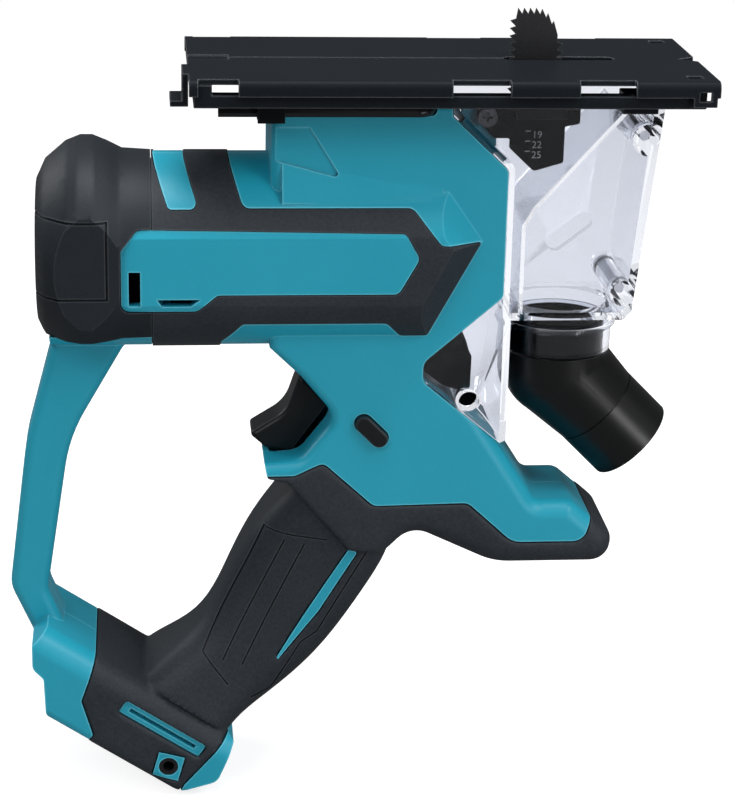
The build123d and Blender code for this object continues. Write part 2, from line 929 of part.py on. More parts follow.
for side in (-1, 1):
    inner_z, outer_z = barrel_z + side * holder_inner, barrel_z + side * holder_outer
    near_z, far_z = barrel_z + side * brush_low, barrel_z + side * brush_high
    holder = block(holder_rear, holder_end, -brush_holder_half, brush_holder_half, inner_z, outer_z)
    pocket = block(brush_x0 - seat, brush_x1 + seat, -pocket_half, pocket_half, barrel_z, far_z)
    brush_plate = brush_plate + holder - pocket
    brushes += block(brush_x0, brush_x1, -brush_half, brush_half, near_z, far_z)
save("brush_plate", brush_plate)
save("brushes", brushes)
rear_bearing = ring_x_axis(boss_rear, flange_rear, bearing_bore, bearing_outer, barrel_z)
save("rear_motor_bearing", rear_bearing)

# Armature: shaft, slotted core, windings and commutator
shaft_rear = boss_rear + 0.5
shaft_front = gear_rear + gear_width + overlap
save("armature_shaft", rod_x_axis(shaft_rear, shaft_front, shaft_radius, 0, barrel_z))
core_radius = magnet_inner - air_gap
stack = ring_x_axis(core_rear, core_front, shaft_radius, core_radius, barrel_z)
windings = Part()
for x0, x1 in ((core_rear - winding_end, core_rear - seat), (core_front + seat, core_front + winding_end)):
    windings += ring_x_axis(x0, x1, shaft_radius + 1.5, core_radius - 1.5, barrel_z)
for i in range(core_slots):
    angle = 2 * pi * i / core_slots
    slot_circle = core_radius - winding_slot_depth
    y, z = slot_circle * cos(angle), barrel_z + slot_circle * sin(angle)
    stack = stack - rod_x_axis(core_rear, core_front, winding_slot_radius + seat, y, z)
    mouth = block(
        core_rear, core_front, core_radius - 4, core_radius + overlap, -winding_mouth_half, winding_mouth_half
    )
    stack = stack - Pos(0, 0, barrel_z) * Rot(360 * i / core_slots, 0, 0) * mouth
    windings += rod_x_axis(core_rear - overlap, core_front + overlap, winding_slot_radius, y, z)
save("armature_core", stack)
save("armature_windings", windings)
commutator = ring_x_axis(can_rear + 2, core_rear - 4.5, shaft_radius, commutator_radius, barrel_z)
for i in range(core_slots):
    cut_low, cut_high = commutator_radius - overlap, commutator_radius + overlap
    groove = block(can_rear + 2, core_rear - 6, cut_low, cut_high, -0.3, 0.3)
    commutator = commutator - Pos(0, 0, barrel_z) * Rot(360 * i / core_slots, 0, 0) * groove
save("commutator", commutator)

# Cooling fan on the motor shaft
fan_rear = can_front + 5.8
fan_front = cover_rear - 0.8
blade_foot = fan_hub_radius - overlap
fan = ring_x_axis(fan_rear, fan_front, shaft_radius, fan_hub_radius, barrel_z)
fan += ring_x_axis(fan_front - fan_disc, fan_front, blade_foot, fan_radius, barrel_z)
for i in range(fan_blades):
    vane = block(fan_rear, fan_front - 1, blade_foot, fan_radius - 0.5, -fan_blade_half, fan_blade_half)
    fan += Pos(0, 0, barrel_z) * Rot(360 * i / fan_blades, 0, 0) * vane
save("fan", fan)


def spur_gear(teeth, phase, x0, x1, bore, z):
    """A spur gear along X at height z, its first tooth turned by the phase in degrees."""
    pitch = gear_module * teeth / 2
    root, tip = pitch - 1.15 * gear_module, pitch + 0.9 * gear_module
    root_half, tip_half = 0.5 * gear_module, 0.24 * gear_module
    wheel = ring_x_axis(x0, x1, bore, root, z)
    base = root - 0.1 * gear_module
    shape = [(base, -root_half * 1.5), (tip, -tip_half), (tip, tip_half), (base, root_half * 1.5)]
    tooth = extrude(Plane.YZ * make_face(Polyline(*shape, close=True)), x1 - x0)
    teeth_solids = []
    for i in range(teeth):
        teeth_solids.append(Pos(x0, 0, z) * Rot(phase + 360 * i / teeth, 0, 0) * tooth)
    return wheel.fuse(*teeth_solids)


# Pinion and crank gear, meshed between the two shafts
pinion_phase = 90.0
gear_phase = -90.0 + 180.0 / gear_teeth
gear_front = gear_rear + gear_width
pinion = spur_gear(pinion_teeth, pinion_phase, gear_rear - 0.5, gear_front + 0.5, shaft_radius, barrel_z)
save("motor_pinion", pinion)
crank_shaft_radius = crank_radius - 1
crank_gear = spur_gear(gear_teeth, gear_phase, gear_rear, gear_front, crank_shaft_radius, crank_z)
save("crank_gear", crank_gear)

# Crank: shaft, disc and pin in one piece, with a roller on the pin
disc_front = yoke_rear - crank_disc_gap
disc_rear = disc_front - crank_disc_thick
roller_front = yoke_rear - slip
pin_z = crank_z + stroke / 2
crank = rod_x_axis(cover_rear + 0.3, disc_rear, crank_shaft_radius, 0, crank_z)
crank += rod_x_axis(disc_rear, disc_front, stroke / 2 + roller_radius + 2, 0, crank_z)
crank += rod_x_axis(disc_front, roller_front - 0.5, roller_bore, 0, pin_z)
save("crank_shaft", crank)
roller = ring_x_axis(disc_front + 0.2, roller_front, roller_bore, roller_radius, pin_z)
save("crank_roller", roller)

# Gear case cover: a disc seated in the barrel, between fan and gears
cover_radius = barrel_radius - wall - seat
cover = rod_x_axis(cover_rear, cover_front, cover_radius, 0, barrel_z)
cover = cover & Box(far * 2, 2 * (barrel_flat - wall - seat), far * 2)
crank_bearing_outer = crank_shaft_radius + 2.5
cover = cover - rod_x_axis(-far, far, gear_module * pinion_teeth / 2 + 2, 0, barrel_z)
cover = cover - rod_x_axis(-far, far, crank_bearing_outer, 0, crank_z)
save("gear_case_cover", cover)
crank_bore = crank_shaft_radius + bearing_fit
rear_ring = ring_x_axis(cover_rear, cover_front, crank_bore, crank_bearing_outer, crank_z)
save("crank_rear_bearing", rear_ring)

# Gear case: a cup round the gears whose front wall carries the arms of the guide pins
gear_tip = gear_module * (gear_teeth / 2 + 1)
gear_room = gear_tip + 1
pinion_room = gear_module * pinion_teeth / 2 + 3.5
cup_front = gear_front + 3
wall_front = cup_front + cup_front_wall
gear_case = rod_x_axis(cover_front, wall_front, gear_room + cup_wall, 0, crank_z)
gear_case += rod_x_axis(cover_front, wall_front, pinion_room + cup_wall, 0, barrel_z)
gear_case = gear_case - rod_x_axis(cover_front - overlap, cup_front, gear_room, 0, crank_z)
gear_case = gear_case - rod_x_axis(cover_front - overlap, cup_front, pinion_room, 0, barrel_z)
yoke_half_height = roller_radius + 2.8
arm_gap = stroke / 2 + 1.5
arm_half = pin_spread + pin_radius + 2
for side in (-1, 1):
    inner_z = crank_z + side * (yoke_half_height + arm_gap)
    gear_case += block(cup_front, arm_front, -arm_half, arm_half, inner_z, inner_z + side * arm_thick)
gear_case = gear_case - rod_x_axis(cup_front - overlap, far, crank_bearing_outer, 0, crank_z)
pin_low = crank_z - yoke_half_height - arm_gap - arm_thick
pin_high = crank_z + yoke_half_height + arm_gap + arm_thick
for side in (-1, 1):
    pin_hole = rod_z_axis(pin_low - overlap, pin_high + overlap, pin_radius, plunger_x, side * pin_spread)
    gear_case = gear_case - pin_hole
save("gear_case", gear_case)
front_ring = ring_x_axis(cup_front, wall_front + 1, crank_bore, crank_bearing_outer, crank_z)
save("crank_front_bearing", front_ring)

# Guide pins and the plunger that slides on them, with its yoke, strap and blade holder
guide_pins = Part()
yoke_low, yoke_high = crank_z - yoke_half_height, crank_z + yoke_half_height
plunger = block(yoke_rear, yoke_front, -arm_half, arm_half, yoke_low, yoke_high)
yoke_slot = stroke / 2 + roller_radius + 0.5
slot_low, slot_high = crank_z - roller_radius - seat, crank_z + roller_radius + seat
plunger = plunger - block(-far, far, -yoke_slot, yoke_slot, slot_low, slot_high)
for side in (-1, 1):
    guide_pins += rod_z_axis(pin_low, pin_high, pin_radius, plunger_x, side * pin_spread)
    plunger = plunger - rod_z_axis(-far, far, pin_radius + bearing_fit, plunger_x, side * pin_spread)
holder_front = blade_half + 0.5
blade_back = blade_thick / 2
plunger += block(yoke_front, strap_front, -strap_half, strap_half, yoke_low, holder_top)
plunger += block(yoke_front, holder_front, blade_back, blade_back + holder_thick, holder_low, holder_top)
blade_screw_z = (holder_low + holder_top) / 2
plunger = plunger - rod_y_axis(-far, far, blade_screw_radius, 0, blade_screw_z)
save("guide_pins", guide_pins)
save("plunger", plunger)
head_y = -blade_back - blade_screw_head_height
blade_screw = rod_y_axis(-blade_back, blade_back + holder_thick, blade_screw_radius, 0, blade_screw_z)
blade_screw += rod_y_axis(head_y, -blade_back, blade_screw_radius * 1.7, 0, blade_screw_z)
socket = Plane.XZ * Pos(0, blade_screw_z) * RegularPolygon(key_flat / 2, 6, major_radius=False)
blade_screw = blade_screw - Pos(0, -blade_back - 1, 0) * extrude(socket, socket_depth)
save("blade_screw", blade_screw)

# Blade: teeth along both edges and across its rounded end
tang_low = holder_low + 0.5
teeth_start = holder_top + 2
crown_fall = 7.0
crown_teeth = 7


def blade_edge(high):
    """One toothed edge of the blade from its tang up to a height, as distances from its axis."""
    points = [(blade_half - 1, tang_low), (blade_half - 1, holder_top), (blade_half, teeth_start)]
    rows = int((high - teeth_start) // tooth_pitch)
    for i in range(rows):
        low = teeth_start + i * tooth_pitch
        points.append((blade_half + tooth_height, low + tooth_pitch * 0.75))
        points.append((blade_half, low + tooth_pitch))
    return points


def crown_height(x):
    """The height of the blade's end, level on one side and falling off on the other."""
    return blade_tip - crown_fall * max(0, x / blade_half) ** 2


crown = []
for i in range(crown_teeth):
    start = blade_half - 2 * blade_half * i / crown_teeth
    middle = start - 2 * blade_half * 0.7 / crown_teeth
    crown.append((start, crown_height(start) - tooth_height))
    crown.append((middle, crown_height(middle)))
front_edge = blade_edge(blade_tip - crown_fall - tooth_height)
rear_edge = [(-x, z) for x, z in reversed(blade_edge(blade_tip - tooth_height))]
blade_face = make_face(Polyline(*front_edge, *crown, *rear_edge, close=True))
blade = extrude(Plane.XZ * blade_face, blade_thick / 2, both=True)
blade = blade - rod_y_axis(-far, far, blade_screw_radius + seat, 0, blade_screw_z)
save("blade", blade)

# Base plate: stamped sheet with turned-down sides, blade slot, sight line, depth index and rear hook
flange_inner = plate_half - plate_thick
inner_bend = flange_bend - plate_thick
plate_section = FilletPolyline(
    (-plate_half, -flange_depth),
    (-plate_half, 0),
    (plate_half, 0),
    (plate_half, -flange_depth),
    (flange_inner, -flange_depth),
    (flange_inner, -plate_thick),
    (-flange_inner, -plate_thick),
    (-flange_inner, -flange_depth),
    radius=[0, flange_bend, flange_bend, 0, 0, inner_bend, inner_bend, 0],
    close=True,
)
base_plate = Pos(plate_rear, 0, 0) * extrude(Plane.YZ * make_face(plate_section), plate_front - plate_rear)
edge_windows = ((plate_rear + 3, plate_rear + 16), (-33, -14), (9, 27.5))
for side in (-1, 1):
    window_inner = side * (plate_half - edge_window_depth)
    for x0, x1 in edge_windows:
        base_plate = base_plate - block(x0, x1, window_inner, side * far, -far, far)
    hole_inner, hole_outer = side * corner_hole_inner, side * corner_hole_outer
    base_plate = base_plate - block(corner_hole_rear, corner_hole_front, hole_inner, hole_outer, -far, far)
base_plate = base_plate - Pos((slot_rear + slot_front) / 2, 0, 0) * extrude(
    SlotOverall(slot_front - slot_rear, slot_width), plate_thick * 2, both=True
)
notch_end = plate_front + overlap
notch_line = Polyline(
    (plate_front - front_notch_depth, 0),
    (notch_end, front_notch_half),
    (notch_end, -front_notch_half),
    close=True,
)
notch = make_face(notch_line)
base_plate = base_plate - extrude(notch, plate_thick * 2, both=True)
sight_start = plate_rear - overlap
sight_mouth_end = plate_rear + sight_mouth_length
for sight_end, width in ((slot_rear + overlap, sight_width), (sight_mouth_end, sight_mouth_width)):
    base_plate = base_plate - block(sight_start, sight_end, -width / 2, width / 2, -sight_depth, overlap)
index_y = scale_y - scale_thick / 2 - 1 - index_thick
base_plate += block(index_rear, index_front, index_y, index_y + index_thick, index_low, -plate_thick / 2)
lug_front = plate_front - 1
lug_rear = lug_front - lug_length
lug_high = -flange_bend
for side in (-1, 1):
    inner, outer_y = side * flange_inner, side * plate_half
    lug = block(lug_rear, lug_front, inner, outer_y, lug_low, lug_high)
    eye_rear, eye_front = lug_rear + lug_wall, lug_front - lug_wall
    eye = block(eye_rear, eye_front, inner - side, outer_y + side, lug_low + lug_wall, lug_high - 1)
    base_plate = base_plate + (lug - eye) - eye
hook_low = -rear_hook_drop
base_plate += block(plate_rear - plate_thick, plate_rear, rear_hook_left, rear_hook_right, hook_low, 0)
hook_end, hook_under = plate_rear - rear_hook_length, hook_low - plate_thick
base_plate += block(hook_end, plate_rear, rear_hook_left, rear_hook_right, hook_under, hook_low)
save("base_plate", base_plate)

# Base bracket: two rails with shoes for the dust box and two end bars, welded under the plate
rail_outer = plate_half - rail_inset
rail_inner = rail_outer - rail_width
rail_high = -flange_depth
rail_low = rail_high - rail_height
bracket_rear = plate_rear + 1.5
bracket_front = plate_front - 4
rear_bar = (bracket_rear, bracket_rear + end_bar)
front_bar = (bracket_front - end_bar, bracket_front)
bracket = Part()
for side in (-1, 1):
    inner, outer_y = side * rail_inner, side * rail_outer
    bracket += block(bracket_rear, bracket_front, inner, outer_y, rail_low, rail_high)
    for x0, x1 in (rear_bar, (-64, -50), (-8, 4), front_bar):
        bracket += block(x0, x1, inner, outer_y, rail_high, -plate_thick)
    shoe_inner = side * (box_half + slip * 3)
    bracket += block(shoe_rear, shoe_front, shoe_inner, inner, rail_low - shoe_drop, rail_high)
for x0, x1 in (rear_bar, front_bar):
    bracket += block(x0, x1, -rail_inner, rail_inner, rail_low, rail_high)
save("base_bracket", bracket)

# Base rods that slide in the neck, and the screw that clamps them
base_rods = Part()
for side in (-1, 1):
    base_rods += rod_z_axis(rod_low, -plate_thick, rod_radius, rod_x, side * rod_y)
save("base_rods", base_rods)
clamp_end = rod_y + rod_radius + slip
clamp_top = neck_half + clamp_head_height
clamp_screw = rod_y_axis(clamp_end, neck_half, clamp_radius, rod_x, clamp_z)
clamp_screw += rod_y_axis(neck_half, clamp_top, clamp_head_radius, rod_x, clamp_z)
clamp_hexagon = Plane.XZ * Pos(rod_x, clamp_z) * RegularPolygon(key_flat / 2, 6, major_radius=False)
clamp_screw = clamp_screw - Pos(0, clamp_top + 2, 0) * extrude(clamp_hexagon, socket_depth)
save("depth_clamp_screw", clamp_screw)

# Dust box: clear chamber in front of the pillar, its lower wing covering the lamp
gap = parting + seat
chamber_corners = [
    (seam_start + gap, box_top, 0),
    (seam_start + gap + 0.5, seam_step, 0),
    (seam_x + gap, seam_high, 3),
    (seam_x + gap, box_floor, 0),
    (box_front_low - 3, box_floor, 2),
    (box_front_low, box_floor + 3, 2),
    (box_front_top, box_top, 0),
]
inner_corners = [(x, z + 10 if z == box_top else z, r) for x, z, r in chamber_corners]
wing_corners = [
    (seam_x + gap, seam_low, 0),
    (notch_x + gap, notch_z + 3.5, 5),
    (notch_x + gap, notch_z - 3.5, 5),
    (seam_x + gap + 0.5, seam_end_z, 0),
    (box_edge_x, seam_end_z + 1, 0),
    (box_edge_x, seam_low, 0),
]
chamber = slab(chamber_corners, box_half)
wing = slab(wing_corners, box_half)
box_form = chamber + wing
dust_box = chamber - slab(inner_corners, box_half, box_wall)
dust_box = dust_box + (wing - Pos(-box_wall, 0, 0) * slab(wing_corners, box_half - box_wall) - chamber)
duct = Polyline((28.5, box_top - 3), (-1, -47.5), (-4.6, -54), (-4.6, box_floor + overlap))
partition = extrude(Plane.XZ * trace(duct, partition_thick), box_half - overlap, both=True)
dust_box = dust_box + partition
box_screw_places = [(36.8, -24, 1, 5.5), (31, -78, 1, 4.5), (-21.5, -116.5, -1, 4.5)]
recess_radius = screw_head + 2 * seat
for x, z, head_side, post_radius in box_screw_places:
    dust_box = dust_box + (rod_y_axis(-box_half, box_half, post_radius, x, z) & box_form)
tube = Plane.XZ * Pos(tube_x, tube_z) * Rot(0, 0, tube_turn) * SlotOverall(tube_length, tube_width)
dust_box = dust_box + Pos(0, box_half - box_wall / 2, 0) * extrude(tube, tube_depth)
collar_inner = collar_radius - box_wall
dust_box = dust_box + rod_z_axis(box_floor + overlap, collar_low, collar_radius, collar_x, 0)
collar_bore_top = box_floor + box_wall + overlap
dust_box = dust_box - rod_z_axis(collar_bore_top, collar_low - overlap, collar_inner, collar_x, 0)
for x, z, head_side, post_radius in box_screw_places:
    recess_end = head_side * (box_half - recess_depth)
    dust_box = dust_box - rod_y_axis(head_side * far, recess_end, recess_radius, x, z)
    hole_end = head_side * (screw_end - screw_room)
    dust_box = dust_box - rod_y_axis(head_side * far, hole_end, screw_shank + seat, x, z)
dust_box = dust_box - block(
    seam_start - overlap, box_mouth_front, box_mouth_left, box_mouth_right, seam_high + overlap, far
)
for side, half in halves.items():
    save(f"dust_box_{side}", dust_box & half)
box_screws = Part()
head_y = box_half - recess_depth
for x, z, head_side, post_radius in box_screw_places:
    box_screws += rod_y_axis(head_side * head_y, head_side * screw_end, screw_shank, x, z)
    box_screws += rod_y_axis(head_side * (head_y + screw_head_height), head_side * head_y, screw_head, x, z)
save("dust_box_screws", box_screws)

# Depth scale and its screw
scale_corners = [
    (-21, scale_top, 0),
    (14.3, scale_top, 0),
    (14.3, -20, 1),
    (9.2, -21, 0),
    (9.2, -33.5, 1),
    (-1, scale_low, 2),
    (-9.5, -28.5, 1),
    (-9.5, -25, 1),
    (-15, -25, 0),
    (-21, -17.5, 1),
]
scale = Pos(0, scale_y, 0) * slab(scale_corners, scale_thick / 2)
scale = scale - rod_y_axis(-far, 0, screw_shank + seat, scale_screw_x, scale_screw_z)
save("depth_scale", scale)
scale_front = scale_y - scale_thick / 2
scale_screw_top = scale_front - scale_screw_head_height
scale_screw = rod_y_axis(scale_front, scale_screw_end, screw_shank, scale_screw_x, scale_screw_z)
scale_screw += rod_y_axis(scale_screw_top, scale_front, screw_head, scale_screw_x, scale_screw_z)
save("scale_screw", scale_screw)

# Dust nozzle: a spigot that turns in the collar, a bend and a tilted pipe with a cuff
spigot_radius = collar_inner - slip
flange_top = collar_low - 1
pipe_start = nozzle_radius + nozzle_swell
cone_length = nozzle_length - nozzle_cuff
drift = Vector(sin(radians(nozzle_tilt)), 0, -cos(radians(nozzle_tilt)))
elbow = Vector(collar_x, 0, nozzle_corner)


def pipe(start_radius, end_radius, spigot, bend, extra):
    """A spigot, a ball at the bend and a pipe that tapers to its cuff."""
    solid = rod_z_axis(collar_low + spigot_length + extra, nozzle_corner, spigot, collar_x, 0)
    cone = Plane(origin=elbow, z_dir=drift) * extrude_between(start_radius, end_radius, cone_length)
    straight = Plane(origin=elbow + drift * cone_length, z_dir=drift)
    branch = straight * Pos(0, 0, (nozzle_cuff + extra) / 2) * Cylinder(end_radius, nozzle_cuff + extra)
    branch = branch + cone + Pos(*elbow) * Sphere(bend)
    return solid + (branch & block(-far, far, -far, far, -far, flange_top))


def extrude_between(low_radius, high_radius, length):
    """A cone on the Z axis from the origin upwards."""
    return Pos(0, 0, length / 2) * Cone(low_radius, high_radius, length)


nozzle = pipe(pipe_start, nozzle_radius, spigot_radius, pipe_start, 0)
nozzle += rod_z_axis(flange_top, nozzle_corner, pipe_start, collar_x, 0)
seam_place = Plane(origin=elbow + drift * cone_length, z_dir=drift)
seam_ring = Cylinder(far / 4, nozzle_groove) - Cylinder(nozzle_radius - nozzle_groove, nozzle_groove)
seam_ring = seam_ring & Cylinder(nozzle_radius + nozzle_wall, far)
nozzle = nozzle - seam_place * Pos(0, 0, nozzle_groove / 2) * seam_ring
bore_start = pipe_start - nozzle_wall
bore_end, bore_spigot = nozzle_radius - nozzle_wall, spigot_radius - nozzle_wall
nozzle = nozzle - pipe(bore_start, bore_end, bore_spigot, bore_start, overlap)
seal_z = collar_low + seal_rise
seal_low, seal_high = seal_z - seal_half, seal_z + seal_half
seal_bore = rod_z_axis(seal_low - 1, seal_high + 1, spigot_radius - seal_groove_depth, collar_x, 0)
nozzle = nozzle - (rod_z_axis(seal_low, seal_high, spigot_radius + overlap, collar_x, 0) - seal_bore)
save("dust_nozzle", nozzle)
seal = rod_z_axis(seal_low, seal_high, collar_inner - seat, collar_x, 0) - seal_bore
save("nozzle_seal", seal)

# Work light behind the clear wing
lamp_corners = [
    (notch_x + seat, notch_z + 1.2, 0),
    (-31, notch_z + 5, 2),
    (-20, notch_z + 5.5, 2),
    (-19.6, notch_z - 7.3, 2),
    (-28, notch_z - 7.8, 2),
    (notch_x + seat, notch_z - 1.2, 0),
]
work_light = slab(lamp_corners, lamp_half)
wing_screw_x, wing_screw_z, wing_side, wing_post = box_screw_places[-1]
work_light = work_light - rod_y_axis(-far, far, wing_post + seat, wing_screw_x, wing_screw_z)
lens_z = notch_z - 0.5
work_light = work_light - rod_x_axis(lens_rear, far, lens_radius, 0, lens_z)
save("work_light", work_light)
light_lens = rod_x_axis(lens_rear, lens_front, lens_radius, 0, lens_z)
light_lens += Pos(lens_front, 0, lens_z) * Sphere(lens_radius * 0.6)
save("light_lens", light_lens)

# Trigger on its stem, and the switch body with the stem's bore
trigger_corners = [
    (-79.5, -110.5, 1),
    (-84.2, -124.5, 14),
    (-97.5, -132.8, 1.5),
    (-91.5, -138.2, 1.5),
    (*tilted(trigger_back, -13), 0),
    (*tilted(trigger_back, 11), 0),
]
trigger = soften(slab(trigger_corners, trigger_half), trigger_half, 2, lambda x, z: x < -80)


def tilted_rod(u0, u1, v, radius):
    """A round bar along the trigger's travel."""
    x, z = tilted(u0, v)
    travel = Vector(cos(radians(trigger_tilt)), 0, -sin(radians(trigger_tilt)))
    return Plane(origin=(x, 0, z), z_dir=travel) * Pos(0, 0, (u1 - u0) / 2) * Cylinder(radius, u1 - u0)


trigger += tilted_rod(trigger_back - overlap, stem_end, stem_across, stem_radius)
save("trigger", trigger)
switch_body = tilted_plate(switch_front, switch_back, switch_low, switch_high, switch_half)
stem_bore = stem_radius + slip
switch_body = switch_body - tilted_rod(switch_front - overlap, switch_bore_end, stem_across, stem_bore)
save("switch_body", switch_body)

# Lock button: a cross bolt that is pushed from the left side
button_face = button_place * SlotOverall(button_length, button_width)
lock_button = Pos(0, neck_half, 0) * extrude(button_face, 2 * neck_half + button_proud)
save("lock_button", lock_button)

# Hex key in its hole and clip
key_path = FilletPolyline(
    (key_x - key_length, key_y, key_z),
    (key_x, key_y, key_z),
    (key_x, key_y + key_short, key_z),
    radius=key_bend,
)
key_end = Plane(origin=key_path @ 0, z_dir=key_path % 0)
key_section = key_end * RegularPolygon(key_flat / 2, 6, major_radius=False)
hex_key = sweep(key_section, path=key_path)
save("hex_key", hex_key)
clip_out = key_y - key_flat - key_clip_wall
clip_rear, clip_front = key_clip_x - key_clip_half, key_clip_x + key_clip_half
key_clip = block(clip_rear, clip_front, clip_out, -neck_half - seat, key_z - key_clip_drop, neck_top - slip)
clip_gap = key_flat / 2 + key_clip_gap
key_clip = key_clip - block(-far, far, key_y - clip_gap, key_y + clip_gap, -far, key_z + key_clip_roof)
save("key_clip", key_clip)

# Terminal block at the end of the battery channel, and the control board on the channel's roof
terminal_face = channel_end - terminal_depth
terminal_block = foot_block(terminal_face, channel_end - seat, terminal_half, overlap, channel_depth - seat)
save("terminal_block", terminal_block)
terminals = Part()
for y in (-terminal_spread, 0, terminal_spread):
    blade_start = terminal_face - terminal_length
    terminals += foot_block(blade_start, terminal_face, terminal_thick / 2, 2, channel_depth - 2, y)
save("terminals", terminals)
board_low = channel_top + seat
save("control_board", foot_block(board_rear, board_front, board_half, board_low, board_low + board_thick))
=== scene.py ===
import json
import math

import bpy
from mathutils import Matrix, Vector


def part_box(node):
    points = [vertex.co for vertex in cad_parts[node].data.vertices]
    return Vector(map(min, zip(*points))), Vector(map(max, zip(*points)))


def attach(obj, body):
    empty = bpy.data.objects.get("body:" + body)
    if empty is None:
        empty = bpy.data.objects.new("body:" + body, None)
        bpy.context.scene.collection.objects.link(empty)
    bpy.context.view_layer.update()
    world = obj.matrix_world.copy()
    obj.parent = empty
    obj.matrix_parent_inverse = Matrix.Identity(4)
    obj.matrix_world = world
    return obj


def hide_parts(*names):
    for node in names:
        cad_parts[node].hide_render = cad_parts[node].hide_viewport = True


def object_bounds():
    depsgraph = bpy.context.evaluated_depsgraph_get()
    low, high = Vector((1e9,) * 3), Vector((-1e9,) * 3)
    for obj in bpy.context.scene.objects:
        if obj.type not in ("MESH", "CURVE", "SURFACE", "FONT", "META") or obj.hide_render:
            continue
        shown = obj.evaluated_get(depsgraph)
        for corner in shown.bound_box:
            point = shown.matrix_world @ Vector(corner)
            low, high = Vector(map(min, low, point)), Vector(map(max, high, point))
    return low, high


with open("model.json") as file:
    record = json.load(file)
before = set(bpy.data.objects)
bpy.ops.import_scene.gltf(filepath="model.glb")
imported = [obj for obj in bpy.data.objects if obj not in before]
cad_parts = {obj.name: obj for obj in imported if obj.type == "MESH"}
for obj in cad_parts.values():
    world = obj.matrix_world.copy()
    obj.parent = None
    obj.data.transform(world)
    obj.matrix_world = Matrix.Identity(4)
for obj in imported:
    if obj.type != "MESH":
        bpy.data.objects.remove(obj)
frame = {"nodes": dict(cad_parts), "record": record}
cad_low, cad_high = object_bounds()

# Stage, light and camera
# A pale table under a white sky, and five soft boxes at a plain level.
# A long lens looks a little down on the tool, from where the photograph was taken.
MM = 0.001
table_size = 2.6
table_gap = 2 * MM


def ray_level(tree, lighting, mirrored, seen):
    """A strength for rays that light the object, for gloss, and for the camera and clear plastic."""
    rays = tree.nodes.new("ShaderNodeLightPath")
    straight = tree.nodes.new("ShaderNodeMath")
    straight.operation = "MAXIMUM"
    tree.links.new(rays.outputs["Is Camera Ray"], straight.inputs[0])
    tree.links.new(rays.outputs["Is Transmission Ray"], straight.inputs[1])
    strength = None
    for mask, level in ((rays.outputs["Is Glossy Ray"], mirrored), (straight.outputs[0], seen)):
        step = tree.nodes.new("ShaderNodeMix")
        step.inputs["A"].default_value = lighting
        step.inputs["B"].default_value = level
        if strength:
            tree.links.new(strength, step.inputs["A"])
        tree.links.new(mask, step.inputs["Factor"])
        strength = step.outputs["Result"]
    return strength


table_white = bpy.data.materials.new("table_white")
table_white.use_nodes = True
tree = table_white.node_tree
shader = tree.nodes["Principled BSDF"]
tree.links.new(ray_level(tree, lighting=0.45, mirrored=0.06, seen=0.45), shader.inputs["Base Color"])
shader.inputs["Roughness"].default_value = 0.9
shader.inputs["Specular IOR Level"].default_value = 0.0
shader.inputs["Emission Color"].default_value = (1, 1, 1, 1)
tree.links.new(ray_level(tree, lighting=0.0, mirrored=0.1, seen=0.8), shader.inputs["Emission Strength"])
bpy.ops.object.select_all(action="DESELECT")
bpy.ops.mesh.primitive_plane_add(size=table_size, location=(0, 0, cad_low.z - table_gap))
floor = bpy.context.object
floor.name = "floor"
floor.data.materials.append(table_white)

world = bpy.data.worlds.new("studio")
bpy.context.scene.world = world
world.use_nodes = True
tree = world.node_tree
sky = tree.nodes["Background"]
sky.inputs["Color"].default_value = (1, 1, 1, 1)
tree.links.new(ray_level(tree, lighting=0.18, mirrored=0.12, seen=1.0), sky.inputs["Strength"])

object_centre = (cad_low + cad_high) / 2


def soft_box(name, place, size, power):
    """A soft box that looks at the middle of the tool, its size in metres and its power in watts."""
    lamp = bpy.data.lights.new(name, "AREA")
    lamp.shape = "RECTANGLE"
    lamp.size, lamp.size_y = size
    lamp.energy = power
    holder = bpy.data.objects.new(name, lamp)
    bpy.context.scene.collection.objects.link(holder)
    holder.location = object_centre + Vector(place)
    holder.rotation_euler = (-Vector(place)).to_track_quat("-Z", "Y").to_euler()


soft_box("right_light", place=(0.95, -0.75, 1.05), size=(0.55, 0.55), power=9)
soft_box("front_light", place=(0.8, -1.05, 0.1), size=(0.22, 0.45), power=3)
soft_box("left_light", place=(-0.6, -0.95, 0.9), size=(0.5, 0.6), power=5.5)
soft_box("top_light", place=(0, -0.1, 1.2), size=(0.8, 0.5), power=15)
soft_box("back_light", place=(-1.0, 0.7, 0.6), size=(0.5, 0.5), power=5)

camera_distance = 0.84143
camera_azimuth = math.radians(-5.681)
camera_elevation = math.radians(19.364)
camera_roll = math.radians(1.343)
camera_aim = Vector((-0.05485, 0.0, -0.12313))
camera_sensor = 36.0
camera_focal_length = 106.21
lens = bpy.data.cameras.new("camera")
lens.sensor_width = camera_sensor
lens.lens = camera_focal_length
camera = bpy.data.objects.new("camera", lens)
bpy.context.scene.collection.objects.link(camera)
back = Vector((
    math.sin(camera_azimuth) * math.cos(camera_elevation),
    -math.cos(camera_azimuth) * math.cos(camera_elevation),
    math.sin(camera_elevation),
))
right = Vector((math.cos(camera_azimuth), math.sin(camera_azimuth), 0))
turn = Matrix((right, back.cross(right), back)).transposed() @ Matrix.Rotation(camera_roll, 3, "Z")
camera.matrix_world = Matrix.Translation(camera_aim + back * camera_distance) @ turn.to_4x4()
bpy.context.scene.camera = camera
bpy.context.scene.view_settings.view_transform = "Standard"
light_bounces = 24
tracing = bpy.context.scene.cycles
tracing.max_bounces = light_bounces
tracing.glossy_bounces = light_bounces
tracing.transmission_bounces = light_bounces
tracing.caustics_reflective = False
tracing.caustics_refractive = False


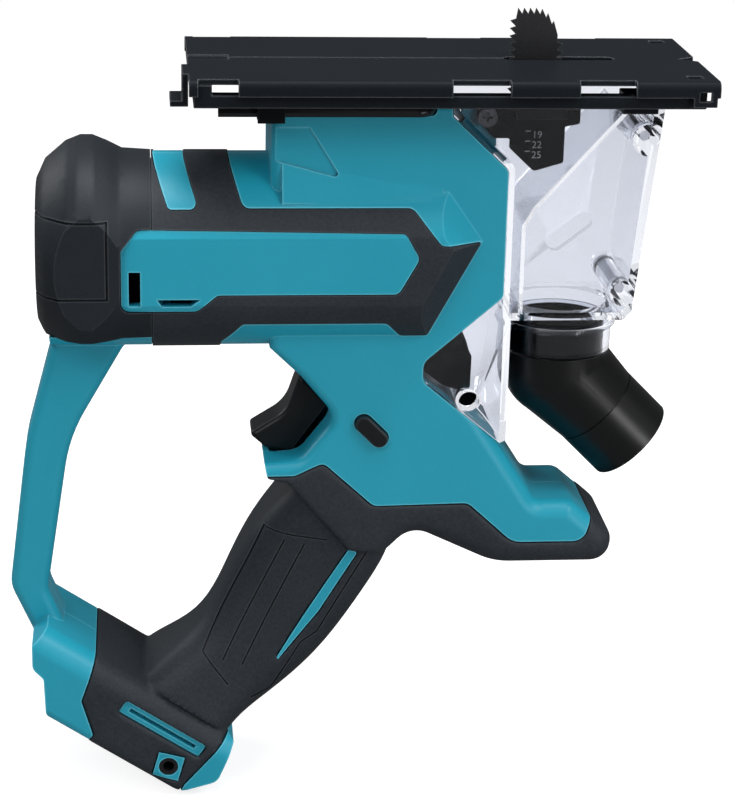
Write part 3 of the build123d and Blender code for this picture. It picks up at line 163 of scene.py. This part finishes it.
# Motor
# A brushed motor: a rolled steel can with two ferrite magnets, a moulded brush plate with two carbon brushes,
# and an armature of stacked laminations with enamelled copper in its slots. It sits in the barrel's ribs.
record = frame["record"]
body_of_node = {node: body for body, members in record["behaviour"]["bodies"].items() for node in members}
merge_distance = 0.002 * MM
flat_angle = math.radians(0.3)
recess_length = 3.2 * MM
recess_width = 0.8 * MM
recess_depth = 2.4 * MM


def in_edit_mode(piece):
    """Makes the piece the only one selected and opens its mesh with all of it chosen."""
    bpy.ops.object.select_all(action="DESELECT")
    bpy.context.view_layer.objects.active = piece
    piece.select_set(True)
    bpy.ops.object.mode_set(mode="EDIT")
    bpy.ops.mesh.select_all(action="SELECT")


def middle_of(piece):
    """The middle of a piece's box."""
    return sum((Vector(corner) for corner in piece.bound_box), Vector()) / 8


def cross_recess(piece, side):
    """Cuts a cross recess into the head of each screw of a piece, on the side of Y that the heads are on."""
    in_edit_mode(piece)
    bpy.ops.mesh.separate(type="LOOSE")
    bpy.ops.object.mode_set(mode="OBJECT")
    screws = list(bpy.context.selected_objects)
    for screw in screws:
        middle = middle_of(screw)
        middle.y += side * screw.dimensions.y / 2
        for width, height in ((recess_length, recess_width), (recess_width, recess_length)):
            bpy.ops.object.select_all(action="DESELECT")
            bpy.ops.mesh.primitive_cube_add(size=1, location=middle)
            driver_tip = bpy.context.object
            driver_tip.scale = (width, recess_depth, height)
            bpy.ops.object.transform_apply(location=True, rotation=True, scale=True)
            recess = screw.modifiers.new("recess", "BOOLEAN")
            recess.operation = "DIFFERENCE"
            recess.solver = "EXACT"
            recess.object = driver_tip
            bpy.context.view_layer.objects.active = screw
            bpy.ops.object.modifier_apply(modifier=recess.name)
            bpy.data.objects.remove(driver_tip)
    bpy.ops.object.select_all(action="DESELECT")
    for screw in screws:
        screw.select_set(True)
    bpy.context.view_layer.objects.active = piece
    if len(screws) > 1:
        bpy.ops.object.join()


def dressed(node, material, smooth_angle=32, edge=0.0, heads=0):
    """A merged, smooth-shaded copy of a solid that takes its place, its sharp edges broken by edge."""
    piece = bpy.data.objects.new(node + "_skin", frame["nodes"][node].data.copy())
    bpy.context.scene.collection.objects.link(piece)
    in_edit_mode(piece)
    bpy.ops.mesh.remove_doubles(threshold=merge_distance)
    bpy.ops.mesh.dissolve_limited(angle_limit=flat_angle)
    bpy.ops.object.mode_set(mode="OBJECT")
    if heads:
        cross_recess(piece, heads)
    if edge:
        bevel = piece.modifiers.new("broken_edge", "BEVEL")
        bevel.width = edge
        bevel.segments = 2
        bevel.limit_method = "ANGLE"
        bevel.angle_limit = math.radians(smooth_angle)
        bevel.use_clamp_overlap = True
        bpy.ops.object.modifier_apply(modifier=bevel.name)
    bpy.ops.object.shade_smooth_by_angle(angle=math.radians(smooth_angle))
    flat_first = piece.modifiers.new("flat_first", "WEIGHTED_NORMAL")
    flat_first.keep_sharp = True
    bpy.ops.object.modifier_apply(modifier=flat_first.name)
    piece.data.materials.clear()
    piece.data.materials.append(material)
    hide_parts(node)
    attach(piece, body_of_node[node])
    return piece


def new_group(name, inputs, outputs):
    """An empty node group with named number sockets, and its two end nodes."""
    group = bpy.data.node_groups.new(name, "ShaderNodeTree")
    for socket in inputs:
        group.interface.new_socket(socket, in_out="INPUT", socket_type="NodeSocketFloat")
    for socket in outputs:
        group.interface.new_socket(socket, in_out="OUTPUT", socket_type="NodeSocketFloat")
    return group, group.nodes.new("NodeGroupInput"), group.nodes.new("NodeGroupOutput")


# Fine grain of a moulded, cast or sprayed surface, with a slow cloud for tone and gloss
fine_share = 0.6
surface_grain, given, result = new_group(
    "surface_grain", ("Scale", "Low", "High"), ("Height", "Roughness", "Cloud", "Tone")
)
make, join = surface_grain.nodes.new, surface_grain.links.new
place = make("ShaderNodeTexCoord")
fine, cloud, spread = make("ShaderNodeTexNoise"), make("ShaderNodeTexNoise"), make("ShaderNodeMapRange")
fine.inputs["Detail"].default_value = 2.0
cloud.inputs["Scale"].default_value = 28.0
cloud.inputs["Detail"].default_value = 3.0
join(place.outputs["Object"], fine.inputs["Vector"])
join(place.outputs["Object"], cloud.inputs["Vector"])
join(given.outputs["Scale"], fine.inputs["Scale"])
join(cloud.outputs["Fac"], spread.inputs["Value"])
join(given.outputs["Low"], spread.inputs["To Min"])
join(given.outputs["High"], spread.inputs["To Max"])
join(fine.outputs["Fac"], result.inputs["Height"])
join(spread.outputs["Result"], result.inputs["Roughness"])
join(cloud.outputs["Fac"], result.inputs["Cloud"])
cloud_part, tone_sum = make("ShaderNodeMath"), make("ShaderNodeMath")
cloud_part.operation = "MULTIPLY"
cloud_part.inputs[1].default_value = 1 - fine_share
tone_sum.operation = "MULTIPLY_ADD"
tone_sum.inputs[1].default_value = fine_share
join(cloud.outputs["Fac"], cloud_part.inputs[0])
join(fine.outputs["Fac"], tone_sum.inputs[0])
join(cloud_part.outputs["Value"], tone_sum.inputs[2])
join(tone_sum.outputs["Value"], result.inputs["Tone"])

# Masks of the outer edges, where a highlight is painted, and of the creases, where shade is painted
painted_edge_light, given, result = new_group("painted_edge_light", ("Width",), ("Painted_highlight", "Painted_crease_shade"))
make, join = painted_edge_light.nodes.new, painted_edge_light.links.new
rounded, true_face = make("ShaderNodeBevel"), make("ShaderNodeNewGeometry")
across, ramp = make("ShaderNodeVectorMath"), make("ShaderNodeMapRange")
hollow, deep = make("ShaderNodeAmbientOcclusion"), make("ShaderNodeMapRange")
open_edge = make("ShaderNodeMath")
rounded.samples = 4
across.operation = "DOT_PRODUCT"
ramp.inputs["From Min"].default_value = 0.99
ramp.inputs["From Max"].default_value = 0.82
hollow.samples = 4
deep.inputs["From Min"].default_value = 0.75
deep.inputs["From Max"].default_value = 0.3
open_edge.operation = "SUBTRACT"
open_edge.use_clamp = True
join(given.outputs["Width"], rounded.inputs["Radius"])
join(given.outputs["Width"], hollow.inputs["Distance"])
join(rounded.outputs["Normal"], across.inputs[0])
join(true_face.outputs["Normal"], across.inputs[1])
join(across.outputs["Value"], ramp.inputs["Value"])
join(hollow.outputs["AO"], deep.inputs["Value"])
join(ramp.outputs["Result"], open_edge.inputs[0])
join(deep.outputs["Result"], open_edge.inputs[1])
join(open_edge.outputs["Value"], result.inputs["Painted_highlight"])
join(deep.outputs["Result"], result.inputs["Painted_crease_shade"])

tone_contrast = 2.0
# Painted shade: creases are darkened to this share of the dark colour
crease_shade = 0.35


def surface(
    name, dark, light, grain, roughness, depth, metallic=0.0, specular=0.5, edge=None, edge_width=0.35
):
    """A material speckled between two colours, with a fine grain and, given edge, a painted highlight of that
    colour on its outer edges and painted shade in its creases.
    """
    material = bpy.data.materials.new(name)
    material.use_nodes = True
    tree = material.node_tree
    make, join = tree.nodes.new, tree.links.new
    shader = tree.nodes["Principled BSDF"]
    skin = make("ShaderNodeGroup")
    skin.node_tree = surface_grain
    skin.inputs["Scale"].default_value = grain
    skin.inputs["Low"].default_value, skin.inputs["High"].default_value = roughness
    tone = make("ShaderNodeMix")
    tone.data_type = "RGBA"
    tone.inputs["A"].default_value = (*dark, 1)
    tone.inputs["B"].default_value = (*light, 1)
    speckle = make("ShaderNodeMath")
    speckle.operation = "MULTIPLY_ADD"
    speckle.use_clamp = True
    speckle.inputs[1].default_value = tone_contrast
    speckle.inputs[2].default_value = 0.5 - tone_contrast / 2
    join(skin.outputs["Tone"], speckle.inputs[0])
    join(speckle.outputs["Value"], tone.inputs["Factor"])
    colour = tone.outputs["Result"]
    if edge:
        rim = make("ShaderNodeGroup")
        rim.node_tree = painted_edge_light
        rim.inputs["Width"].default_value = edge_width * MM
        shade = tuple(part * crease_shade for part in dark)
        # Painted highlight on the outer edges, and painted shade in the creases
        for mask, paint in (("Painted_highlight", edge), ("Painted_crease_shade", shade)):
            painted_light = make("ShaderNodeMix")
            painted_light.data_type = "RGBA"
            painted_light.inputs["B"].default_value = (*paint, 1)
            join(colour, painted_light.inputs["A"])
            join(rim.outputs[mask], painted_light.inputs["Factor"])
            colour = painted_light.outputs["Result"]
    join(colour, shader.inputs["Base Color"])
    join(skin.outputs["Roughness"], shader.inputs["Roughness"])
    bump = make("ShaderNodeBump")
    bump.inputs["Strength"].default_value = 1.0
    bump.inputs["Distance"].default_value = depth * MM
    join(skin.outputs["Height"], bump.inputs["Height"])
    join(bump.outputs["Normal"], shader.inputs["Normal"])
    shader.inputs["Metallic"].default_value = metallic
    shader.inputs["Specular IOR Level"].default_value = specular
    return material


dark_steel = surface(
    "dark_steel", dark=(0.035, 0.035, 0.038), light=(0.05, 0.05, 0.054),
    grain=1800, roughness=(0.32, 0.42), depth=0.01, metallic=0.8,
)
bright_steel = surface(
    "bright_steel", dark=(0.5, 0.5, 0.51), light=(0.6, 0.6, 0.61),
    grain=1800, roughness=(0.25, 0.35), depth=0.01, metallic=1.0,
)
ferrite = surface(
    "ferrite", dark=(0.03, 0.03, 0.032), light=(0.05, 0.05, 0.05),
    grain=1500, roughness=(0.6, 0.7), depth=0.03, specular=0.2,
)
copper = surface(
    "copper", dark=(0.5, 0.2, 0.08), light=(0.62, 0.28, 0.12),
    grain=900, roughness=(0.3, 0.4), depth=0.03, metallic=1.0,
)
# Its edge colour is a painted highlight on outer edges, and its creases get painted shade
black_plastic = surface(
    "black_plastic", dark=(0.0025, 0.0036, 0.005), light=(0.0035, 0.005, 0.0065),
    grain=2400, roughness=(0.34, 0.44), depth=0.012, specular=0.12,
    edge=(0.02, 0.022, 0.025), edge_width=0.6,
)
for node in ("motor_can", "armature_core"):
    dressed(node, dark_steel)
for node in ("armature_shaft", "rear_motor_bearing", "front_motor_bearing"):
    dressed(node, bright_steel)
for node in ("armature_windings", "commutator"):
    dressed(node, copper)
for node in ("brush_plate", "brushes", "fan"):
    dressed(node, black_plastic)
dressed("motor_magnets", ferrite)

# Gear train
# A steel pinion on the motor shaft turns a hobbed crank gear, and the crank's pin carries a roller.
# A die-cast case and its cover hold the crank in two bearings.
cast_alloy = surface(
    "cast_alloy", dark=(0.42, 0.43, 0.44), light=(0.5, 0.5, 0.52),
    grain=1200, roughness=(0.45, 0.55), depth=0.04, metallic=0.9,
)
for node in ("gear_case", "gear_case_cover"):
    dressed(node, cast_alloy)
for node in ("motor_pinion", "crank_gear", "crank_shaft", "crank_roller"):
    dressed(node, bright_steel)
for node in ("crank_rear_bearing", "crank_front_bearing"):
    dressed(node, bright_steel)

# Plunger and blade
# The ground plunger slides on two guide pins and clamps the blade with a hex screw.
# The blade is blued spring steel with milled teeth on both edges and across its end.
for node in ("guide_pins", "plunger", "blade_screw"):
    dressed(node, bright_steel)
# Its edge colour is a painted highlight on the tooth and outer edges, and its creases get painted shade
blade_steel = surface(
    "blade_steel", dark=(0.05, 0.05, 0.055), light=(0.085, 0.085, 0.09),
    grain=1500, roughness=(0.3, 0.42), depth=0.01, metallic=0.9,
    edge=(0.3, 0.3, 0.31), edge_width=0.25,
)
dressed("blade", blade_steel, smooth_angle=10)

# Switch, board and terminals
# A moulded switch behind the trigger, a fibreglass control board on the roof of the battery channel,
# and a terminal block with three brass blades for the battery.
board_green = surface(
    "board_green", dark=(0.01, 0.06, 0.025), light=(0.015, 0.08, 0.03),
    grain=900, roughness=(0.35, 0.45), depth=0.02,
)
brass = surface(
    "brass", dark=(0.55, 0.4, 0.16), light=(0.65, 0.48, 0.2),
    grain=1500, roughness=(0.28, 0.38), depth=0.01, metallic=1.0,
)
for node in ("switch_body", "terminal_block"):
    dressed(node, black_plastic)
dressed("control_board", board_green)
dressed("terminals", brass)

# Housing halves
# Two glass-filled nylon mouldings that meet on the mid plane, teal, with a fine spark-eroded grain.
# Ten screws from the hidden side hold them together, and a threaded steel nut sits in each side of the foot.
# Its edge colour is a painted highlight on outer edges, and its creases get painted shade
teal_plastic = surface(
    "teal_plastic", dark=(0.0105, 0.288, 0.405), light=(0.016, 0.332, 0.458),
    grain=2600, roughness=(0.36, 0.46), depth=0.02, specular=0.35,
    edge=(0.14, 0.55, 0.68), edge_width=1.0,
)
for node in ("housing_left", "housing_right"):
    dressed(node, teal_plastic, edge=0.5 * MM)
dressed("housing_screws", dark_steel, heads=1)
dressed("hook_nuts", dark_steel)

# Soft overmould and rear cap
# A thermoplastic rubber shot over the housing on the grip, toe and barrel, and a loose cap on the motor end.
# On the grip it runs on from half to half, with flowing hollows and fine panel lines.
# Its edge colour is a painted highlight on outer edges, and its creases get painted shade
soft_rubber = surface(
    "soft_rubber", dark=(0.016, 0.02, 0.0255), light=(0.0345, 0.0405, 0.049),
    grain=1000, roughness=(0.48, 0.6), depth=0.06, specular=0.2,
    edge=(0.055, 0.06, 0.068), edge_width=0.9,
)
weld_distance = 0.01 * MM
rubber_edge = 0.5 * MM
even_mesh_step = 0.75 * MM
flow_rounds = 9
kept_share = 0.35
groove_width = 0.6 * MM
groove_depth = 0.5 * MM
groove_reach = 30 * MM
# Corners of each panel line in millimetres, along X and up Z
panel_lines = (
    ((-70, -168.5), (-92, -165.5), (-114, -212), (-105, -224)),
    ((-85, -168.5), (-107, -215)),
    ((-78, -170), (-100, -217)),
    ((-55.5, -172.4), (-72.9, -205.3), (-78.9, -209.2), (-89.6, -227.7), (-96.8, -230)),
)


def joined_halves(name, left, right):
    """One closed mesh of two solids that meet on the mid plane, without the faces between them."""
    halves = []
    for node in (left, right):
        half = bpy.data.objects.new(node + "_skin", frame["nodes"][node].data.copy())
        bpy.context.scene.collection.objects.link(half)
        halves.append(half)
    bpy.ops.object.select_all(action="DESELECT")
    for half in halves:
        half.select_set(True)
    bpy.context.view_layer.objects.active = halves[0]
    bpy.ops.object.join()
    whole = bpy.context.object
    whole.name = name
    in_edit_mode(whole)
    bpy.ops.mesh.remove_doubles(threshold=merge_distance)
    bpy.ops.mesh.select_all(action="DESELECT")
    bpy.ops.object.mode_set(mode="OBJECT")
    for face in whole.data.polygons:
        face.select = all(abs(whole.data.vertices[corner].co.y) < merge_distance for corner in face.vertices)
    bpy.ops.object.mode_set(mode="EDIT")
    bpy.ops.mesh.delete(type="FACE")
    bpy.ops.mesh.select_all(action="SELECT")
    bpy.ops.mesh.remove_doubles(threshold=weld_distance)
    bpy.ops.object.mode_set(mode="OBJECT")
    whole.data.materials.clear()
    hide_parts(left, right)
    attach(whole, body_of_node[left])
    return whole


for node in ("barrel_rubber_left", "barrel_rubber_right"):
    dressed(node, soft_rubber, edge=rubber_edge)
overmould = joined_halves("grip_overmould", "grip_rubber_left", "grip_rubber_right")
even_mesh = overmould.modifiers.new("even_mesh", "REMESH")
even_mesh.mode = "VOXEL"
even_mesh.voxel_size = even_mesh_step
flow = overmould.modifiers.new("flow", "SMOOTH")
flow.factor = 0.5
flow.iterations = flow_rounds
thinned = overmould.modifiers.new("thinned", "DECIMATE")
thinned.ratio = kept_share
for step in (even_mesh, flow, thinned):
    bpy.ops.object.modifier_apply(modifier=step.name)

below_groove = bpy.data.objects.new("below_groove", overmould.data.copy())
bpy.context.scene.collection.objects.link(below_groove)
sunk = below_groove.modifiers.new("sunk", "DISPLACE")
sunk.strength = -groove_depth
sunk.mid_level = 0.0
bpy.ops.object.select_all(action="DESELECT")
bpy.context.view_layer.objects.active = below_groove
bpy.ops.object.modifier_apply(modifier=sunk.name)
for corners in panel_lines:
    route = bpy.data.curves.new("panel_line", "CURVE")
    route.dimensions = "2D"
    route.fill_mode = "NONE"
    route.extrude = groove_reach
    line = route.splines.new("POLY")
    line.points.add(len(corners) - 1)
    for point, (x, z) in zip(line.points, corners):
        point.co = (x * MM, z * MM, 0, 1)
    cutter = bpy.data.objects.new("panel_line", route)
    bpy.context.scene.collection.objects.link(cutter)
    cutter.rotation_euler.x = math.radians(90)
    bpy.ops.object.select_all(action="DESELECT")
    cutter.select_set(True)
    bpy.context.view_layer.objects.active = cutter
    bpy.ops.object.convert(target="MESH")
    cutter = bpy.context.object
    bpy.ops.object.transform_apply(location=True, rotation=True, scale=True)
    wall = cutter.modifiers.new("wall", "SOLIDIFY")
    wall.thickness = groove_width
    wall.offset = 0.0
    wall.use_even_offset = True
    bpy.ops.object.modifier_apply(modifier=wall.name)
    for piece, other in ((cutter, below_groove), (overmould, cutter)):
        cut = piece.modifiers.new("cut", "BOOLEAN")
        cut.operation = "DIFFERENCE"
        cut.solver = "MANIFOLD"
        cut.object = other
        bpy.context.view_layer.objects.active = piece
        bpy.ops.object.modifier_apply(modifier=cut.name)
    bpy.data.objects.remove(cutter)
bpy.data.objects.remove(below_groove)
bpy.ops.object.select_all(action="DESELECT")
overmould.select_set(True)
bpy.context.view_layer.objects.active = overmould
bpy.ops.object.shade_smooth_by_angle(angle=math.radians(40))
overmould.data.materials.clear()
overmould.data.materials.append(soft_rubber)
# Its edge colour is a painted highlight on outer edges, and its creases get painted shade
cap_rubber = surface(
    "cap_rubber", dark=(0.0125, 0.0165, 0.021), light=(0.0165, 0.0205, 0.0255),
    grain=1300, roughness=(0.46, 0.58), depth=0.05, specular=0.2,
    edge=(0.055, 0.06, 0.068), edge_width=0.9,
)
dressed("rear_cap", cap_rubber, edge=rubber_edge)

# Trigger and lock button
# Black acetal, moulded glossy. The trigger slides on its stem, and the button is a bolt through the neck.
# Its edge colour is a painted highlight on the rims, and its creases get painted shade
acetal = surface(
    "acetal", dark=(0.0052, 0.0066, 0.0082), light=(0.0076, 0.0092, 0.0112),
    grain=2000, roughness=(0.34, 0.44), depth=0.008, specular=0.3,
    edge=(0.045, 0.049, 0.055), edge_width=1.2,
)
dressed("trigger", acetal, edge=0.9 * MM)
dressed("lock_button", acetal, edge=1.2 * MM)

# Work light
# A black carrier behind the clear wing of the dust box, with a clear domed lens over the diode.
clear_plastic = bpy.data.materials.new("clear_plastic")
clear_plastic.use_nodes = True
tree = clear_plastic.node_tree
shader = tree.nodes["Principled BSDF"]
shader.inputs["Transmission Weight"].default_value = 1.0
shader.inputs["IOR"].default_value = 1.3
haze = tree.nodes.new("ShaderNodeGroup")
haze.node_tree = surface_grain
haze.inputs["Scale"].default_value = 60
haze.inputs["Low"].default_value, haze.inputs["High"].default_value = 0.02, 0.06
tint = tree.nodes.new("ShaderNodeMix")
tint.data_type = "RGBA"
tint.inputs["A"].default_value = (0.73, 0.75, 0.8, 1)
tint.inputs["B"].default_value = (0.775, 0.79, 0.835, 1)
tree.links.new(haze.outputs["Cloud"], tint.inputs["Factor"])
tree.links.new(tint.outputs["Result"], shader.inputs["Base Color"])
tree.links.new(haze.outputs["Roughness"], shader.inputs["Roughness"])
lamp_rays, let_through = tree.nodes.new("ShaderNodeLightPath"), tree.nodes.new("ShaderNodeBsdfTransparent")
let_through.inputs["Color"].default_value = (0.9, 0.91, 0.93, 1)
either = tree.nodes.new("ShaderNodeMixShader")
tree.links.new(lamp_rays.outputs["Is Shadow Ray"], either.inputs["Fac"])
tree.links.new(shader.outputs["BSDF"], either.inputs[1])
tree.links.new(let_through.outputs["BSDF"], either.inputs[2])
tree.links.new(either.outputs["Shader"], tree.nodes["Material Output"].inputs["Surface"])
matt_black = surface(
    "matt_black", dark=(0.002, 0.0025, 0.0034), light=(0.003, 0.0036, 0.0046),
    grain=2400, roughness=(0.6, 0.7), depth=0.0, specular=0.0,
)
dressed("work_light", matt_black)
dressed("light_lens", clear_plastic)

# Sole
# A pressed steel plate with a frame of rails welded under it, both powder coated in black.
# Two ground rods guide it in the neck, and a hex screw from the hidden side clamps them.
# Its edge colour is a painted highlight on the bends and edges, and its creases get painted shade
black_coat = surface(
    "black_coat", dark=(0.0075, 0.0095, 0.012), light=(0.0105, 0.0128, 0.016),
    grain=900, roughness=(0.42, 0.52), depth=0.01, specular=0.05,
    edge=(0.17, 0.18, 0.195), edge_width=0.6,
)
for node in ("base_plate", "base_bracket"):
    dressed(node, black_coat, edge=0.35 * MM)
dressed("base_rods", bright_steel)
dressed("depth_clamp_screw", dark_steel)

# Depth scale
# A flat black moulding behind the clear box, held by one cross-head screw, with its depths printed in white.
dressed("depth_scale", matt_black)
dressed("scale_screw", dark_steel, heads=-1)
print_white = surface(
    "print_white", dark=(0.7, 0.7, 0.7), light=(0.78, 0.78, 0.78),
    grain=3000, roughness=(0.5, 0.6), depth=0.002,
)
scale_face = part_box("depth_scale")[0].y
figure_height = 2.4 * MM
figure_thick = 0.04 * MM
figure_x = -2.0 * MM
capital_share = 0.69
first_row = -23.7 * MM
row_step = 3.5 * MM
tick_x = -3.4 * MM
tick_rise = 1.2 * MM
tick_length = 1.8 * MM
tick_width = 0.35 * MM
figures = []
for row, depth in enumerate(("19", "22", "25")):
    height = first_row - row * row_step
    bpy.ops.object.select_all(action="DESELECT")
    bpy.ops.object.text_add(location=(figure_x, scale_face - figure_thick, height - figure_height / 2))
    figure = bpy.context.object
    figure.data.body = depth
    figure.data.size = figure_height / capital_share
    figure.data.extrude = figure_thick
    figure.rotation_euler.x = math.radians(90)
    bpy.ops.object.convert(target="MESH")
    bpy.ops.object.transform_apply(location=True, rotation=True, scale=True)
    figures.append(bpy.context.object)
    bpy.ops.object.select_all(action="DESELECT")
    bpy.ops.mesh.primitive_cube_add(size=1, location=(tick_x, scale_face, height + tick_rise))
    tick = bpy.context.object
    tick.scale = (tick_length, 2 * figure_thick, tick_width)
    bpy.ops.object.transform_apply(location=True, rotation=True, scale=True)
    figures.append(tick)
bpy.ops.object.select_all(action="DESELECT")
for figure in figures:
    figure.select_set(True)
bpy.context.view_layer.objects.active = figures[0]
bpy.ops.object.join()
scale_figures = bpy.context.object
scale_figures.name = "scale_figures"
scale_figures.data.materials.clear()
scale_figures.data.materials.append(print_white)
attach(scale_figures, "housing")

# Dust box
# Clear polycarbonate, two mouldings that are welded on the mid plane into one shell with screw posts.
# A bead runs round the collar for the nozzle. Three screws hold the box, and the one in the wing is matt
# black as painted shade, so the hole of its post reads dark.
dust_box = joined_halves("dust_box_shell", "dust_box_left", "dust_box_right")
in_edit_mode(dust_box)
bpy.ops.mesh.dissolve_limited(angle_limit=flat_angle)
bpy.ops.object.mode_set(mode="OBJECT")
bpy.ops.object.shade_smooth_by_angle(angle=math.radians(32))
dust_box.data.materials.append(clear_plastic)

bead_middle = Vector((12, 0, -92.5)) * MM
collar_radius = 19 * MM
bead_offset = 0.75 * MM
bead_thick = 0.7 * MM
bead_stretch = 1.6
bead_clearance = 0.25 * MM
bpy.ops.object.select_all(action="DESELECT")
bpy.ops.mesh.primitive_torus_add(
    location=bead_middle,
    major_radius=collar_radius + bead_offset,
    minor_radius=bead_thick,
    major_segments=96,
    minor_segments=14,
)
collar_bead = bpy.context.object
collar_bead.name = "collar_bead"
collar_bead.scale.z = bead_stretch
bpy.ops.object.transform_apply(location=True, rotation=True, scale=True)
# The bead's inner side is flat along the collar, and its lower edge is square
for corner in collar_bead.data.vertices:
    outward = Vector((corner.co.x - bead_middle.x, corner.co.y, 0))
    widening = max(outward.length, collar_radius + bead_clearance) / outward.length
    corner.co.x = bead_middle.x + outward.x * widening
    corner.co.y = outward.y * widening
    corner.co.z = max(corner.co.z, bead_middle.z - bead_thick)
bpy.ops.object.shade_smooth_by_angle(angle=math.radians(40))
collar_bead.data.materials.append(clear_plastic)
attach(collar_bead, body_of_node["dust_box_left"])
box_screws = dressed("dust_box_screws", bright_steel, heads=1)
box_screws.data.materials.append(matt_black)
# Painted shade: the screw deep in the wing's post is given matt black
for face in box_screws.data.polygons:
    if face.center.x < 0:
        face.material_index = 1

# Dust nozzle
# A glossy black moulding that turns in the collar of the dust box on a rubber seal.
# Its spigot, above the lower edge of the collar, is left matt from the mould.
nozzle_black = surface(
    "nozzle_black", dark=(0.0015, 0.0018, 0.0024), light=(0.0025, 0.0028, 0.0034),
    grain=700, roughness=(0.31, 0.38), depth=0.004,
)
collar_end = -102.5 * MM
dressed("nozzle_seal", matt_black)
nozzle = dressed("dust_nozzle", nozzle_black)
nozzle.data.materials.append(matt_black)
for face in nozzle.data.polygons:
    if face.center.z > collar_end:
        face.material_index = 1

# Hex key
# A blacked hexagon bar that is kept in a hole of the neck and under a moulded clip.
dressed("hex_key", dark_steel)
dressed("key_clip", black_plastic)
